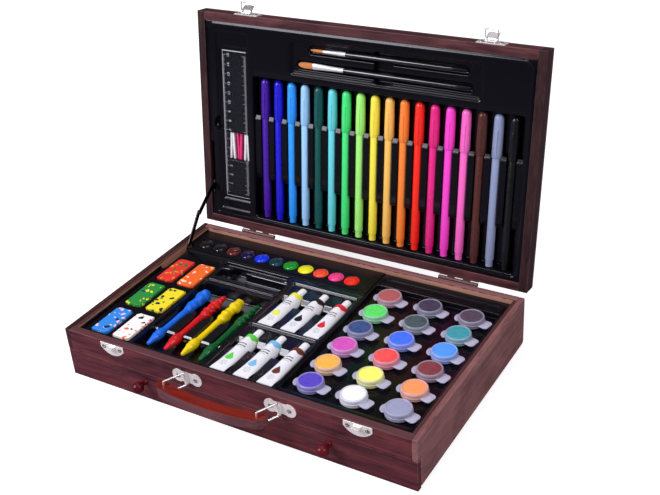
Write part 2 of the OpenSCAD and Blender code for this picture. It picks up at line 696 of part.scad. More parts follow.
// Small round brush and large flat brush along +X: x of the tip, y, length, handle
// radius, length of the hair and end of the ferrule
small_brush = [124.8, brush_ys[2], 166, 2.6, 15, 40];
flat_brush = [111.3, brush_ys[1], 184.3, 2.8, 16.8, 51.6];
flat_half_w = 3.2;
flat_half_t = 1.4;
flat_turn = 34;                            // where the flat ferrule turns round
brush_swell = 23;                          // from the ferrule to the thickest place
brush_tail_r = 1.2;
module brush_at(b) {
    at_lid(b[0], b[1], brush_slot_floor + seat + b[3]) rotate([0, 0, -90]) children();
}
module brush_handle(b) {
    brush_at(b) lying([[0, b[5]], [b[3] - 0.6, b[5]], [b[3], b[5] + brush_swell], [brush_tail_r, b[2]],
        [0, b[2]]]);
}
module brush_handles() {
    color("#101014") {
        brush_handle(small_brush);
        brush_handle(flat_brush);
    }
}
module brush_ferrules() {
    color("#d8d8dc") {
        brush_at(small_brush) lying([[0, small_brush[4]], [1.5, small_brush[4]],
            [2.1, small_brush[5] - seat], [0, small_brush[5] - seat]]);
        brush_at(flat_brush) {
            lying([[0, flat_turn], [2.3, flat_turn], [2.3, flat_brush[5] - seat],
                [0, flat_brush[5] - seat]]);
            block([-flat_half_w, flat_brush[4], -flat_half_t],
                [flat_half_w, flat_turn + 1, flat_half_t]);
        }
    }
}
module brush_bristles() {
    color("#c07830") {
        brush_at(small_brush) lying([[0, 0], [1, 3], [1.5, 9], [1.4, small_brush[4] - seat],
            [0, small_brush[4] - seat]]);
        brush_at(flat_brush) block([0.2 - flat_half_w, 0, 0.4 - flat_half_t],
            [flat_half_w - 0.2, flat_brush[4] - seat, flat_half_t - 0.4]);
    }
}
module ruler() {
    color([0.85, 0.88, 0.95, 0.35]) at_lid(ruler_x, ruler_y, ruler_floor + seat)
        translate([0, ruler_l, 0]) rotate([90, 0, 0]) linear_extrude(ruler_l)
            polygon([[0, 0], [ruler_w, 0], [ruler_w, 0.7], [ruler_w - 6, ruler_t], [0, ruler_t]]);
}
module mini_pegs() {
    color("#f0f0f0") for (i = [0:2])
        at_lid(peg_pocket[0] + 4.7 + i * 9, peg_pocket[1] + 1, peg_floor + seat) {
            block([-3.6, 0, 0], [-0.9, peg_l, 4]);
            block([0.9, 0, 0], [3.6, peg_l, 4]);
            block([-1.2, peg_l * 0.45, 0.8], [1.2, peg_l * 0.62, 3.2]);
        }
}

// ---- Hinges ----
knuckle_n = 5;
knuckle_gap = 0.3;
module at_hinges() {
    for (s = [-1, 1]) translate([s * hinge_pitch / 2 - hinge_l / 2, 0, 0]) children();
}
// One half of a hinge with its pin along X at y = 0, z = 0 and its leaf below
// and hinge_back in front of the pin; it owns every other knuckle.
module hinge_half(first, leaf_h, drop = 1.2) {
    pitch = hinge_l / knuckle_n;
    difference() {
        union() {
            block([0, -hinge_back, -drop - leaf_h], [hinge_l, leaf_t - hinge_back, -drop]);
            for (i = [first:2:knuckle_n - 1]) translate([i * pitch + knuckle_gap / 2, 0, 0]) {
                rotate([0, 90, 0]) cylinder(r = knuckle_r, h = pitch - knuckle_gap);
                block([0, -hinge_back, -knuckle_r], [pitch - knuckle_gap, 0, -hinge_pin_r - 0.4]);
            }
        }
        translate([-1, 0, 0]) rotate([0, 90, 0])
            cylinder(r = hinge_pin_r + run_fit, h = hinge_l + 2);
    }
}
module hinge_case_leaves() {
    color("#6b5140") translate([0, hinge_y, hinge_z]) at_hinges() hinge_half(0, case_leaf_h);
}
module hinge_pins() {
    color("#8a8a8a") translate([0, hinge_y, hinge_z]) at_hinges()
        rotate([0, 90, 0]) cylinder(r = hinge_pin_r, h = hinge_l);
}
// In the lid's frame the leaf hangs from the pin the other way up
module hinge_lid_leaves() {
    color("#6b5140") open_lid() translate([0, -hinge_back, hinge_drop + rim_gap])
        at_hinges() translate([hinge_l, 0, 0]) rotate([0, 0, 180]) hinge_half(1, lid_leaf_h);
}

// ---- Stay: two flat links beside the left liner ----
function turn2(p, a) = [p[0] * cos(a) - p[1] * sin(a), p[0] * sin(a) + p[1] * cos(a)];
stay_low = [rear_y - stay_low_back, case_h - stay_low_drop];
stay_up = [hinge_y, hinge_z] + turn2([-hinge_back - stay_up_v,
    hinge_drop + rim_gap + stay_up_depth], -lid_open_angle);
stay_span = norm(stay_up - stay_low);
stay_rise = sqrt(stay_l * stay_l - stay_span * stay_span / 4);
stay_dir = (stay_up - stay_low) / stay_span;
stay_mid = (stay_low + stay_up) / 2 + stay_rise * [-stay_dir[1], stay_dir[0]];
stay_x = [-inner_x + layer_gap, -inner_x + 2 * layer_gap + stay_t];
stay_pin_r = 1;
stay_head_r = 1.9;
module stay_link(x, from, to) {
    difference() {
        translate([x, 0, 0]) link(from, to, stay_w, stay_t);
        across(x - 1, x + stay_t + 1, from, stay_pin_r + run_fit);
    }
}
module stay_pin(at, x) {
    across(-inner_x, x + stay_t + layer_gap + 0.1, at, stay_pin_r);
    across(x + stay_t + layer_gap, x + stay_t + layer_gap + stay_head_h, at, stay_head_r);
}
module stay_case_pin() {
    color("#5c5040") stay_pin(stay_low, stay_x[0]);
}
module stay_lid_pin() {
    color("#5c5040") stay_pin(stay_up, stay_x[1]);
}
module stay_lower_link() {
    color("#18181a") stay_link(stay_x[0], stay_low, stay_mid);
}
// Its free end carries the head of the middle rivet
module stay_upper_link() {
    color("#18181a") {
        stay_link(stay_x[1], stay_up, stay_mid);
        across(stay_x[1] + stay_t / 2, stay_x[1] + stay_t + stay_head_h, stay_mid, stay_head_r);
    }
}

// ---- Handle ----
bail_x = [handle_mid_x - bail_pitch / 2, handle_mid_x + bail_pitch / 2];
bail_y = front_y - bail_stand;
tunnel_half_h = bail_half_h - bail_d / 2 - 0.3;
grip_y = bail_y - bail_l * cos(bail_lean);
grip_x = handle_mid_x - bail_l * sin(bail_lean);
grip_hole = 3;                             // depth of the holes for the bails' ends
grip_end_t = grip_t - grip_rebate;         // between the bails' turned ends
module handle_plates() {
    waist = 5.4;
    tunnel_r = bail_d / 2 + run_fit + 0.8;
    color("#ebe1e1") for (x = bail_x) translate([x, front_y, handle_z]) difference() {
        union() {
            for (s = [-1, 1]) translate([s * 9.6, 0, 0]) rotate([90, 0, 0])
                cylinder(r = handle_lobe_r, h = sheet_t);
            block([-9.6, -sheet_t, -waist], [9.6, 0, waist]);
            block([-tunnel_r, -bail_stand, -tunnel_half_h], [tunnel_r, 0, tunnel_half_h]);
            translate([0, -bail_stand, -tunnel_half_h])
                cylinder(r = tunnel_r, h = 2 * tunnel_half_h);
        }
        translate([0, -bail_stand, -20]) cylinder(r = bail_d / 2 + run_fit, h = 40);
    }
}
// A wire bail: an upright in the plate, two legs and two ends turned into the grip
module bail() {
    r = bail_d / 2;
    end_in = grip_hole - 0.3;
    translate([0, 0, -bail_half_h]) cylinder(r = r, h = 2 * bail_half_h);
    for (s = [-1, 1]) {
        translate([0, 0, s * bail_half_h]) {
            sphere(r = r);
            rotate([90, 0, 0]) cylinder(r = r, h = bail_l);
            translate([0, -bail_l, 0]) {
                sphere(r = r);
                rotate([90 + s * 90, 0, 0])
                    cylinder(r = r, h = bail_half_h - grip_end_t / 2 + s * grip_drop + end_in);
            }
        }
    }
}
module handle_bail(x) {
    color("#ebe1e1") translate([x, bail_y, handle_z]) rotate([0, 0, -bail_lean]) bail();
}
module handle_bail_left() {
    handle_bail(bail_x[0]);
}
module handle_bail_right() {
    handle_bail(bail_x[1]);
}
// Bowed bar with rounded ends, and rebates underneath for the bails' lower legs
function grip_bow(x) = x * x / (2 * grip_bow_r) - grip_out;
function grip_turn(x, r) =
    let (over = max(0, abs(x) - grip_l / 2 + r)) r - sqrt(max(0, r * r - over * over));
module handle_grip() {
    corner = 0.73 * grip_w;
    rear_corner = 0.26 * grip_w;
    rebate_l = 20;
    steps = 32;                            // straight runs in the bow
    along = [for (i = [0:steps]) grip_l / 2 * sin(180 * i / steps - 90)];
    outer = [for (x = along) [x, grip_bow(x) + grip_turn(x, corner)]];
    inner = [for (i = [steps:-1:0]) let (x = along[i])
        [x, grip_bow(x) + grip_w - grip_turn(x, rear_corner)]];
    color("#6e2418") translate([grip_x, grip_y, handle_z - grip_drop - grip_end_t / 2]) difference() {
        translate([0, 0, -grip_rebate]) linear_extrude(grip_t) polygon(concat(outer, inner));
        for (s = [-1, 1]) {
            translate([s * (grip_l - rebate_l) / 2, 0, 0])
                block([-rebate_l / 2 - 1, -bail_d, -grip_rebate - 1], [rebate_l / 2 + 1, grip_w, 0]);
            for (z = [-1, grip_end_t - grip_hole])
                translate([s * bail_pitch / 2, 0, z])
                    cylinder(r = bail_d / 2 + 2 * run_fit, h = grip_hole + 1);
        }
    }
}

// ---- Latches ----
// Side view of a latch: y outwards from the lid's front face, z towards the case
latch_x = [latch_mid_x - latch_pitch / 2, latch_mid_x + latch_pitch / 2];
lever_pin = [2.2, -2.4];
loop_offset = [0.8, -1.7];                 // from the lever's pin to the loop's, when shut
loop_bar = [4.2, loop_reach];              // the loop's bar when latched
loop_pin_shut = lever_pin + loop_offset;
loop_pin = lever_pin + turn2(loop_offset, lever_open);
loop_l = norm(loop_bar - loop_pin_shut);
loop_t = 0.9;
latch_pin_r = 0.6;
latch_eye_r = 1.05;
plate_gap = 1;                             // from a rim to the plate's edge
ear_x = 4.2;                               // outside of the plate's ears
lever_in = ear_x + layer_gap;
lever_out = lever_in + sheet_t;
loop_in = lever_out + layer_gap;
lever_face = 3.6;                          // back of the shut lever's sheet
lever_end = -12;                           // where its tail begins
module at_latch(x) {
    open_lid() translate([x, case_d, 0]) children();
}
module latch_plates() {
    w = latch_plate_w / 2;
    ear_top = lever_pin[1] + latch_eye_r;
    color("#ebe1e1") for (x = latch_x) at_latch(x) {
        block([-w, 0, -plate_gap - latch_plate_h], [w, sheet_t, -plate_gap]);
        for (s = [-ear_x, ear_x - sheet_t]) {
            block([s, 0, ear_top - 3], [s + sheet_t, lever_pin[0], ear_top]);
            across(s, s + sheet_t, lever_pin, latch_eye_r);
        }
        across(-lever_out, lever_out, lever_pin, latch_pin_r);
    }
}
// The lever as it lies when shut
module lever_shut() {
    face = lever_face + sheet_t;
    a = lever_pin;
    difference() {
        union() {
            for (s = [-lever_out, lever_in]) {
                across(s, s + sheet_t, a, latch_eye_r);
                translate([s, 0, 0]) rotate([90, 0, 90]) linear_extrude(sheet_t)
                    polygon([[a[0] - 0.75, a[1] - 0.74], [a[0] + 0.6, a[1] + 0.86],
                        [face, a[1] - 1.2], [face, lever_end], [lever_face, lever_end],
                        [2.1, -6.5]]);
            }
            block([-lever_out, lever_face, lever_end], [lever_out, face, -5.4]);
            translate([-lever_out, 0, 0]) rotate([90, 0, 90]) linear_extrude(2 * lever_out)
                polygon([[lever_face, lever_end], [face, lever_end], [face + 2.4, lever_end - 3],
                    [lever_face + 2.4, lever_end - 3]]);
            across(-loop_in - loop_t, -lever_in, loop_pin_shut, latch_pin_r);
            across(lever_in, loop_in + loop_t, loop_pin_shut, latch_pin_r);
        }
        across(-lever_out - 1, lever_out + 1, a, latch_pin_r + run_fit);
    }
}
module latch_lever(x) {
    color("#e2dada") at_latch(x) translate([0, lever_pin[0], lever_pin[1]])
        rotate([lever_open, 0, 0]) translate([0, -lever_pin[0], -lever_pin[1]]) lever_shut();
}
module latch_loop(x) {
    out = loop_in + loop_t;
    h = loop_t / 2;
    color("#ebe1e1") at_latch(x) translate([0, loop_pin[0], loop_pin[1]]) difference() {
        union() {
            for (s = [-out, loop_in]) {
                across(s, s + loop_t, [0, 0], latch_eye_r);
                block([s, 0, -h], [s + loop_t, loop_l + h, h]);
            }
            block([-out, loop_l - h, -h], [out, loop_l + h, h]);
        }
        across(-out - 1, out + 1, [0, 0], latch_pin_r + run_fit);
    }
}
module latch_lever_left() {
    latch_lever(latch_x[0]);
}
module latch_lever_right() {
    latch_lever(latch_x[1]);
}
module latch_loop_left() {
    latch_loop(latch_x[0]);
}
module latch_loop_right() {
    latch_loop(latch_x[1]);
}
// Catch on the case: a plate with a turned-down hook that holds the loop's bar
module catch_plates() {
    w = latch_plate_w / 2;
    tongue_w = 3.5;
    lip = loop_bar[0] + loop_t / 2 + 0.45;
    tongue = rim_gap + plate_gap - loop_bar[1] + loop_t / 2 + 0.35;
    color("#ebe1e1") for (x = latch_x) translate([x, front_y, case_h - plate_gap]) {
        block([-w, -sheet_t, -6], [w, 0, 0]);
        intersection() {
            block([-w, -sheet_t, -latch_plate_h], [w, 0, -5]);
            translate([0, 0, 4]) rotate([90, 0, 0])
                cylinder(r = latch_plate_h + 4, h = sheet_t, $fn = fine);
        }
        block([-tongue_w, -lip - sheet_t, tongue], [tongue_w, -sheet_t / 2, tongue + sheet_t]);
        block([-tongue_w, -lip - sheet_t, tongue - 1.6], [tongue_w, -lip, tongue + sheet_t]);
    }
}

// ---- Screws ----
module case_screws() {
    color("#d8d0d0") {
        for (x = bail_x, s = [-9.6, 9.6])
            translate([x + s, front_y - sheet_t, handle_z]) rotate([90, 0, 0]) screw_head(2.3);
        for (x = latch_x, s = [-9.4, 9.4])
            translate([x + s, front_y - sheet_t, case_h - plate_gap - 4])
                rotate([90, 0, 0]) screw_head(2);
        for (h = [-1, 1], s = [-1, 0, 1])
            translate([h * hinge_pitch / 2 + s * hinge_l / 3, rear_y + leaf_t, hinge_z - 8])
                rotate([-90, 0, 0]) screw_head(2);
    }
}
module lid_screws() {
    color("#d8d0d0") {
        for (x = latch_x, s = [-9.4, 9.4])
            at_latch(x) translate([s, sheet_t, -plate_gap - 4]) rotate([-90, 0, 0]) screw_head(2);
        open_lid() for (h = [-1, 1], s = [-1, 0, 1])
            translate([h * hinge_pitch / 2 + s * hinge_l / 3, -leaf_t, -8]) rotate([90, 0, 0])
                screw_head(2);
    }
}

case_front_board();
case_left_board();
case_right_board();
case_rear_board();
case_left_liner();
case_right_liner();
case_shelf();
case_bottom();
palette_tray();
eraser_tray();
crayon_tray();
tube_tray();
pot_tray();
watercolour_pans();
erasers();
figure_crayons();
paint_tubes();
tube_caps();
pot_cups();
pot_paint();
pot_lids();
catch_plates();
handle_plates();
case_screws();
hinge_case_leaves();
hinge_pins();
stay_case_pin();
drawer_front();
drawer_sides();
drawer_back();
drawer_bottom();
drawer_knobs();
lid_panel();
lid_front_rail();
lid_rear_rail();
lid_left_rail();
lid_right_rail();
lid_tray();
marker_barrels();
marker_caps();
brush_handles();
brush_ferrules();
brush_bristles();
ruler();
mini_pegs();
latch_plates();
lid_screws();
hinge_lid_leaves();
stay_lid_pin();
stay_lower_link();
stay_upper_link();
handle_bail_left();
handle_bail_right();
handle_grip();
latch_lever_left();
latch_lever_right();
latch_loop_left();
latch_loop_right();
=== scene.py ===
"""A wooden art supply case, open, with a drawer, a stayed lid and trays of supplies."""
import bpy
import bmesh
import json
from math import atan2, cos, exp, pi, radians, sin, sqrt
import numpy as np
from mathutils import Matrix, Vector

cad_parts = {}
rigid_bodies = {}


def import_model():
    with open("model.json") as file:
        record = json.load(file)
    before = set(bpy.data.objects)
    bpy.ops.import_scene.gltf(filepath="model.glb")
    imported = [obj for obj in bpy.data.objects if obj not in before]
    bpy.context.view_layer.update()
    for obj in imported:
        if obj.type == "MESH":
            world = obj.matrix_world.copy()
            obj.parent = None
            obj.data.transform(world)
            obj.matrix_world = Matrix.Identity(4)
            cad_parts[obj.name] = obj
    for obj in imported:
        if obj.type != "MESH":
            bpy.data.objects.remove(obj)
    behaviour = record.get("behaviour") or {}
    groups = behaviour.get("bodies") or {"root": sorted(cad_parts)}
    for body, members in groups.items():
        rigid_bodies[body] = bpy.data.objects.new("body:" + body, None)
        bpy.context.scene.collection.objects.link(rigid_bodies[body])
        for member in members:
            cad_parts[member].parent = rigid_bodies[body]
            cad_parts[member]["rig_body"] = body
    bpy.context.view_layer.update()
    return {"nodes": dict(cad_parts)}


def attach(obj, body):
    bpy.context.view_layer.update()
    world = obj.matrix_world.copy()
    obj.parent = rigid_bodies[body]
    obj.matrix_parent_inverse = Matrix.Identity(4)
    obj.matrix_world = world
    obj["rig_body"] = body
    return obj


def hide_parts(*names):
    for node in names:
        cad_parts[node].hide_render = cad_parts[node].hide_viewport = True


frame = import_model()
MM = 0.001

# ---- Sizes of the case, in millimetres ----
FRONT_Y, REAR_Y = -115.3, 115.3
CASE_H = 53.5
INNER_X = 178.8
SHELF_TOP = 33.5
RAIL_W = 8.7
LID_DEPTH = 12.8
OPEN_ANGLE = 97.7
PIN_OUT = 3.05
HANDLE_X, HANDLE_Z = (-41.5, 57.7), 42.4
CATCH_X = (-128.4, 133.6)
HINGE_X = (-117.5, 117.5)

# ---- Places in the case's trays, from their left front corner ----
TRAY_Y0, TRAY_LEN, TRAY_TOP = -107.1, 215.4, 47.9
FLOOR_Z = 34.3
BED_Z = FLOOR_Z + 0.05
LIP_H = 2.4
PALETTE_Y = 170.8
PAN_X, PAN_Y, PAN_PITCH = 17.2, 188.7, 18.02
ERASER_X, ERASER_Y = (19.5, 45.6), (28.9, 80.0, 131.1)
CRAYON_X, CRAYON_Y, CRAYON_PITCH = 69.4, 19.2, 20.367
CRAYON_L, CRAYON_R = 99.6, 6.8
TUBE_X, TUBE_Y = (158.8, 184.2, 209.6), (8.0, 87.1)
TUBE_BODY, TUBE_R = 57.9, 7.5
POT_PLACES = [(245.9 + 42.85 * i, 27.4 + 30 * j) for i in range(3) for j in range(6)]
POT_RIM, CUP_R = TRAY_TOP - 1.7, 10.4

# ---- Places in the lid's tray ----
MARKER_X = [69.3 + 15.91 * i for i in range(18)]
MARKER_Y, MARKER_Z, BARREL_L = 7.6, -7.25, 109.7
SMALL_BRUSH, FLAT_BRUSH = (124.8, 194.9, 166), (111.3, 179, 184.3)  # tip's x, y, length
RULER_X, RULER_Y, RULER_W, RULER_TOP = 18.5, 24.2, 30.3, -2.15
PEG_X, PEG_Y, PEG_FLOOR, PEG_L = (25.3, 34.3, 43.3), 66, -10.95, 28.9

TO_METRES = Matrix.Scale(MM, 4)
CASE_TRAY = Matrix.Translation((-INNER_X, TRAY_Y0, 0))
LID = (Matrix.Translation((0, REAR_Y + PIN_OUT, CASE_H - 0.3))
       @ Matrix.Rotation(radians(-OPEN_ANGLE), 4, "X")
       @ Matrix.Translation((0, -PIN_OUT, 0.6)) @ Matrix.Rotation(pi, 4, "X"))
LID_TRAY = LID @ Matrix.Translation((-INNER_X, RAIL_W, 0))
IN_CASE, IN_LID, ON_LID = ("case", CASE_TRAY), ("lid", LID_TRAY), ("lid", LID)


def srgb(red, green, blue):
    """A colour as the eye sees it, 0 to 255, as linear light."""
    def linear(v):
        v /= 255
        return v / 12.92 if v <= 0.04045 else ((v + 0.055) / 1.055) ** 2.4
    return (linear(red), linear(green), linear(blue), 1)


def lit(*colours):
    return [srgb(*colour) for colour in colours]


def shaded(colour, share, lift=0.0):
    return [c * share + lift for c in colour[:3]] + [1]


def add_node(tree, kind, inputs=None, **settings):
    """A node with its settings, each input linked to a socket or given a value."""
    made = tree.nodes.new(kind)
    for key, value in settings.items():
        setattr(made, key, value)
    for key, value in (inputs or {}).items():
        if isinstance(value, bpy.types.NodeSocket):
            tree.links.new(value, made.inputs[key])
        else:
            made.inputs[key].default_value = value
    return made


# ---- Materials ----
class Finish:
    """A material built up node by node around one plain shader."""

    def __init__(self, name, **sockets):
        self.material = bpy.data.materials.new(name)
        self.material.use_nodes = True
        self.tree = self.material.node_tree
        self.shader = self.tree.nodes["Principled BSDF"]
        for socket, value in sockets.items():
            self.shader.inputs[socket.replace("_", " ")].default_value = value

    def node(self, kind, inputs=None, **settings):
        return add_node(self.tree, "ShaderNode" + kind, inputs, **settings)

    def place(self, stretch=(1, 1, 1)):
        """Object coordinates, stretched along the grain."""
        where = self.node("TexCoord").outputs["Object"]
        return self.node("Mapping", {"Vector": where, "Scale": stretch}).outputs["Vector"]

    def axes(self):
        return self.node("SeparateXYZ", {"Vector": self.place()}).outputs

    def noise(self, scale, detail=3, rough=0.55, warp=0.0, vector=None):
        return self.node("TexNoise", {
            "Vector": vector or self.place(), "Scale": scale, "Detail": detail,
            "Roughness": rough, "Distortion": warp}).outputs["Fac"]

    def ramp(self, value, *stops):
        made = self.node("ValToRGB", {"Fac": value})
        band = made.color_ramp
        while len(band.elements) < len(stops):
            band.elements.new(0.5)
        for element, (where, colour) in zip(band.elements, stops):
            element.position = where
            element.color = colour
        return made.outputs["Color"]

    def span(self, value, low, high, out_low=0.0, out_high=1.0):
        return self.node("MapRange", {"Value": value, "From Min": low, "From Max": high,
                                      "To Min": out_low, "To Max": out_high}).outputs["Result"]

    def math(self, operation, first, second):
        return self.node("Math", {0: first, 1: second}, operation=operation).outputs[0]

    def mix(self, factor, first, second, blend="MIX"):
        return self.node("Mix", {0: factor, 6: first, 7: second}, data_type="RGBA",
                         blend_type=blend).outputs[2]

    def attribute(self, name, output="Color"):
        return self.node("Attribute", attribute_name=name).outputs[output]

    def feed(self, socket, value):
        self.tree.links.new(value, self.shader.inputs[socket])

    def rough(self, value, low, high):
        self.feed("Roughness", self.span(value, 0.3, 0.7, low, high))

    def bump(self, height, depth, strength=1.0):
        made = self.node("Bump", {"Height": height, "Distance": depth * MM,
                                  "Strength": strength})
        self.feed("Normal", made.outputs["Normal"])


TONE_STOPS = (0.33, 0.5, 0.7)


def grain_stretch(axis, along=14, across=260):
    return [along if letter == axis else across for letter in "XYZ"]


def stained_wood(name, axis, tones, wear_and_glint, gloss=0.42, bare=None, rim=None, upper=None):
    """Stained board: streaks along the grain, reddish clouds, paler rubbed edges; on the grip the
    paler edge tone is a painted highlight line.

    tones: dark, mid and light; upper: the same for faces that carry the attribute "upper".
    bare: (inner face's y, top of the unstained band, its colour) in millimetres.
    rim: (height in millimetres, colour): every face above that height takes this paler tone,
    painted light on the top faces.
    """
    wood = Finish(name, Specular_IOR_Level=0.2, Coat_Weight=0.05, Coat_Roughness=0.3)
    tones = lit(*tones)
    dark, mid = tones[:2]
    streak = wood.noise(1, 5, 0.6, 0.5, wood.place(grain_stretch(axis)))
    pore = wood.noise(1, 2, vector=wood.place(grain_stretch(axis, 56, 1040)))
    swirl = wood.noise(24, 3, 0.5, 1.4, wood.place(grain_stretch(axis, 0.5, 1.2)))
    tone = wood.math("ADD", wood.math("MULTIPLY", streak, 0.55),
                     wood.math("MULTIPLY", swirl, 0.45))
    colour = wood.ramp(tone, *zip(TONE_STOPS, tones))
    # Faces without "upper" keep the main tones; on the grip these paint a lavender sheen on its
    # sides.
    if upper:
        above = wood.ramp(tone, *zip(TONE_STOPS, lit(*upper)))
        colour = wood.mix(wood.attribute("upper", "Fac"), colour, above)
    colour = wood.mix(wood.span(pore, 0.54, 0.7, 0, 0.7), colour, dark)
    # Paler tone on the bevelled edges: rubbed wear on the boards, and on the grip a painted
    # highlight line.
    rub_and_glint_mask = wood.math("MULTIPLY", wood.attribute("bevel_edge", "Fac"),
                       wood.span(wood.noise(90, 4), 0.36, 0.62, 0.05, 0.55))
    colour = wood.mix(rub_and_glint_mask, colour, srgb(*wear_and_glint))
    # Faces above the height turn paler: painted light falling on the top faces.
    if rim:
        height, pale = rim
        tone = wood.mix(wood.span(streak, 0.34, 0.7, 0.55, 0.0), srgb(*pale), mid)
        above = wood.math("GREATER_THAN", wood.axes()["Z"], height * MM)
        colour = wood.mix(above, colour, tone)
    if bare:
        inner, top, pale = bare
        where = wood.axes()
        ragged = wood.noise(120, 4, 0.7, vector=wood.place((1, 1, 0.2)))
        edge = wood.math("ADD", where["Z"], wood.span(ragged, 0.3, 0.8, 0.0, 0.0022))
        band = wood.math("MULTIPLY", wood.math("LESS_THAN", where["Y"], (inner + 0.3) * MM),
                         wood.math("LESS_THAN", edge, top * MM))
        tone = wood.mix(wood.span(streak, 0.3, 0.7, 0.0, 0.5), srgb(*pale), mid)
        colour = wood.mix(band, colour, tone)
    wood.feed("Base Color", colour)
    wood.rough(streak, gloss - 0.06, gloss + 0.12)
    wood.bump(wood.math("ADD", streak, wood.math("MULTIPLY", pore, 0.5)), 0.12, 0.5)
    return wood.material


def bare_wood(name, axis, dark, light, stain=None):
    """Unfinished board with saw marks across it.

    stain: (height in millimetres, colour) above which stain has run over it.
    """
    wood = Finish(name, Specular_IOR_Level=0.2)
    dark, light = lit(dark, light)
    streak = wood.noise(1, 5, 0.65, 0.3, wood.place(grain_stretch(axis)))
    patch = wood.noise(60)
    colour = wood.ramp(streak, (0.3, dark), (0.7, light))
    colour = wood.mix(wood.span(patch, 0.4, 0.7, 0, 0.4), colour, dark)
    if stain:
        height, stained = stain
        reach = wood.math("ADD", wood.axes()["Z"], wood.span(patch, 0.3, 0.8, 0.0, 0.0012))
        above = wood.math("GREATER_THAN", reach, height * MM)
        colour = wood.mix(above, colour, srgb(*stained))
    wood.feed("Base Color", colour)
    wood.rough(patch, 0.67, 0.85)
    wood.bump(streak, 0.25, 0.6)
    return wood.material


def formed_sheet(name, colour, rough, sheen):
    """Vacuum-formed black sheet: deep gloss, slightly wavy, a little dust."""
    sheet = Finish(name, Specular_IOR_Level=sheen, Base_Color=colour)
    wave, fine, dust = sheet.noise(34, 2, 0.4), sheet.noise(900, 2), sheet.noise(260, 4, 0.7)
    sheet.feed("Base Color", sheet.mix(sheet.span(dust, 0.64, 0.82, 0, 0.3), colour,
                                       shaded(colour, 3, 0.004)))
    sheet.rough(fine, rough - 0.04, rough + 0.06)
    sheet.bump(sheet.math("ADD", wave, sheet.math("MULTIPLY", fine, 0.02)), 0.8, 0.35)
    return sheet.material


def moulded(name, rough=0.3, coat=0.0, shade=0.12, ripple=0.04):
    """Moulded plastic or wax in the colour that each piece carries."""
    cast = Finish(name, Coat_Weight=coat, Coat_Roughness=0.12)
    cloud = cast.span(cast.noise(130), 0.35, 0.75, 0, shade)
    cast.feed("Base Color", cast.mix(cloud, cast.attribute("tint"), (0.01, 0.01, 0.015, 1)))
    cast.rough(cast.noise(420, 2), rough - 0.05, rough + 0.08)
    cast.bump(cast.noise(700, 2), ripple, 0.4)
    return cast.material


def plated(name, colour, rough, dark=0.25, metal=1.0):
    """Thin plating or tumbled metal: bright with darker pits and rubbed streaks."""
    plate = Finish(name, Metallic=metal)
    pit = plate.noise(650, 4, 0.7)
    plate.feed("Base Color", plate.mix(plate.span(pit, 0.6, 0.85, 0, 0.28), colour,
                                       shaded(colour, dark)))
    plate.rough(plate.noise(240), rough - 0.07, rough + 0.14)
    plate.bump(pit, 0.04, 0.3)
    return plate.material


def milky(name, colour, alpha, rough):
    """Thin cloudy clear plastic."""
    clear = Finish(name, Base_Color=colour, Alpha=alpha, IOR=1.45, Specular_IOR_Level=0.6)
    haze = clear.noise(300)
    clear.rough(haze, rough - 0.06, rough + 0.1)
    clear.feed("Base Color", clear.mix(clear.span(haze, 0.4, 0.7, 0, 0.3), colour,
                                       shaded(colour, 0.8)))
    clear.bump(haze, 0.05, 0.3)
    return clear.material


def stained_clear(name, pale, share, alpha):
    """Cloudy plastic that takes on the colour of the paint behind it."""
    wall = Finish(name, Alpha=alpha, IOR=1.45, Specular_IOR_Level=0.45)
    haze = wall.noise(110, 2)
    through = wall.span(haze, 0.3, 0.75, share + 0.015, share - 0.015)
    wall.feed("Base Color", wall.mix(through, pale, wall.attribute("tint")))
    wall.rough(haze, 0.22, 0.36)
    wall.bump(haze, 0.05, 0.3)
    return wall.material


def flecked_rubber(name):
    """Eraser rubber with chips of two other colours pressed into it."""
    rubber = Finish(name, Specular_IOR_Level=0.35)
    warp = rubber.node("TexNoise", {"Vector": rubber.place(), "Scale": 180.0, "Detail": 2.0})
    bent = rubber.mix(0.006, rubber.place(), warp.outputs["Color"], "ADD")
    colour = rubber.attribute("tint")
    chips = ((160, 0.38, "fleck_a"), (150, 0.36, "fleck_b"), (250, 0.36, "fleck_a"))
    for index, (scale, size, source) in enumerate(chips):
        moved = rubber.node("Mapping", {"Vector": bent, "Location": (index * 0.37, 0.2, 0)})
        cell = rubber.node("TexVoronoi", {"Vector": moved.outputs[0], "Scale": scale}).outputs
        mask = rubber.math("MULTIPLY", rubber.math("GREATER_THAN", cell["Color"], 0.68),
                           rubber.math("LESS_THAN", cell["Distance"], size))
        colour = rubber.mix(mask, colour, rubber.attribute(source))
    rubber.feed("Base Color", colour)
    grit = rubber.noise(800)
    rubber.rough(grit, 0.5, 0.7)
    rubber.bump(grit, 0.05, 0.5)
    return rubber.material


# rim: the top faces are painted paler, as light falls on them.
STAIN_X = stained_wood("mahogany stain, grain across", "X",
                       ((50, 20, 28), (90, 38, 46), (122, 52, 54)), (128, 88, 88),
                       rim=(53.3, (92, 60, 63)))
STAIN_LEFT = stained_wood("mahogany stain, left side", "Y",
                          ((40, 22, 22), (66, 36, 36), (86, 48, 46)), (84, 50, 48))
STAIN_RIGHT = stained_wood("mahogany stain, right side", "Y",
                           ((96, 58, 60), (134, 88, 88), (156, 108, 102)), (150, 110, 106))
STAIN_LID = stained_wood("mahogany stain, lid", "X",
                         ((44, 20, 26), (80, 42, 46), (106, 60, 60)), (122, 86, 86))
STAIN_LID_UP = stained_wood("mahogany stain, lid sides", "Z",
                            ((30, 16, 19), (54, 31, 33), (72, 42, 42)), (94, 66, 66))
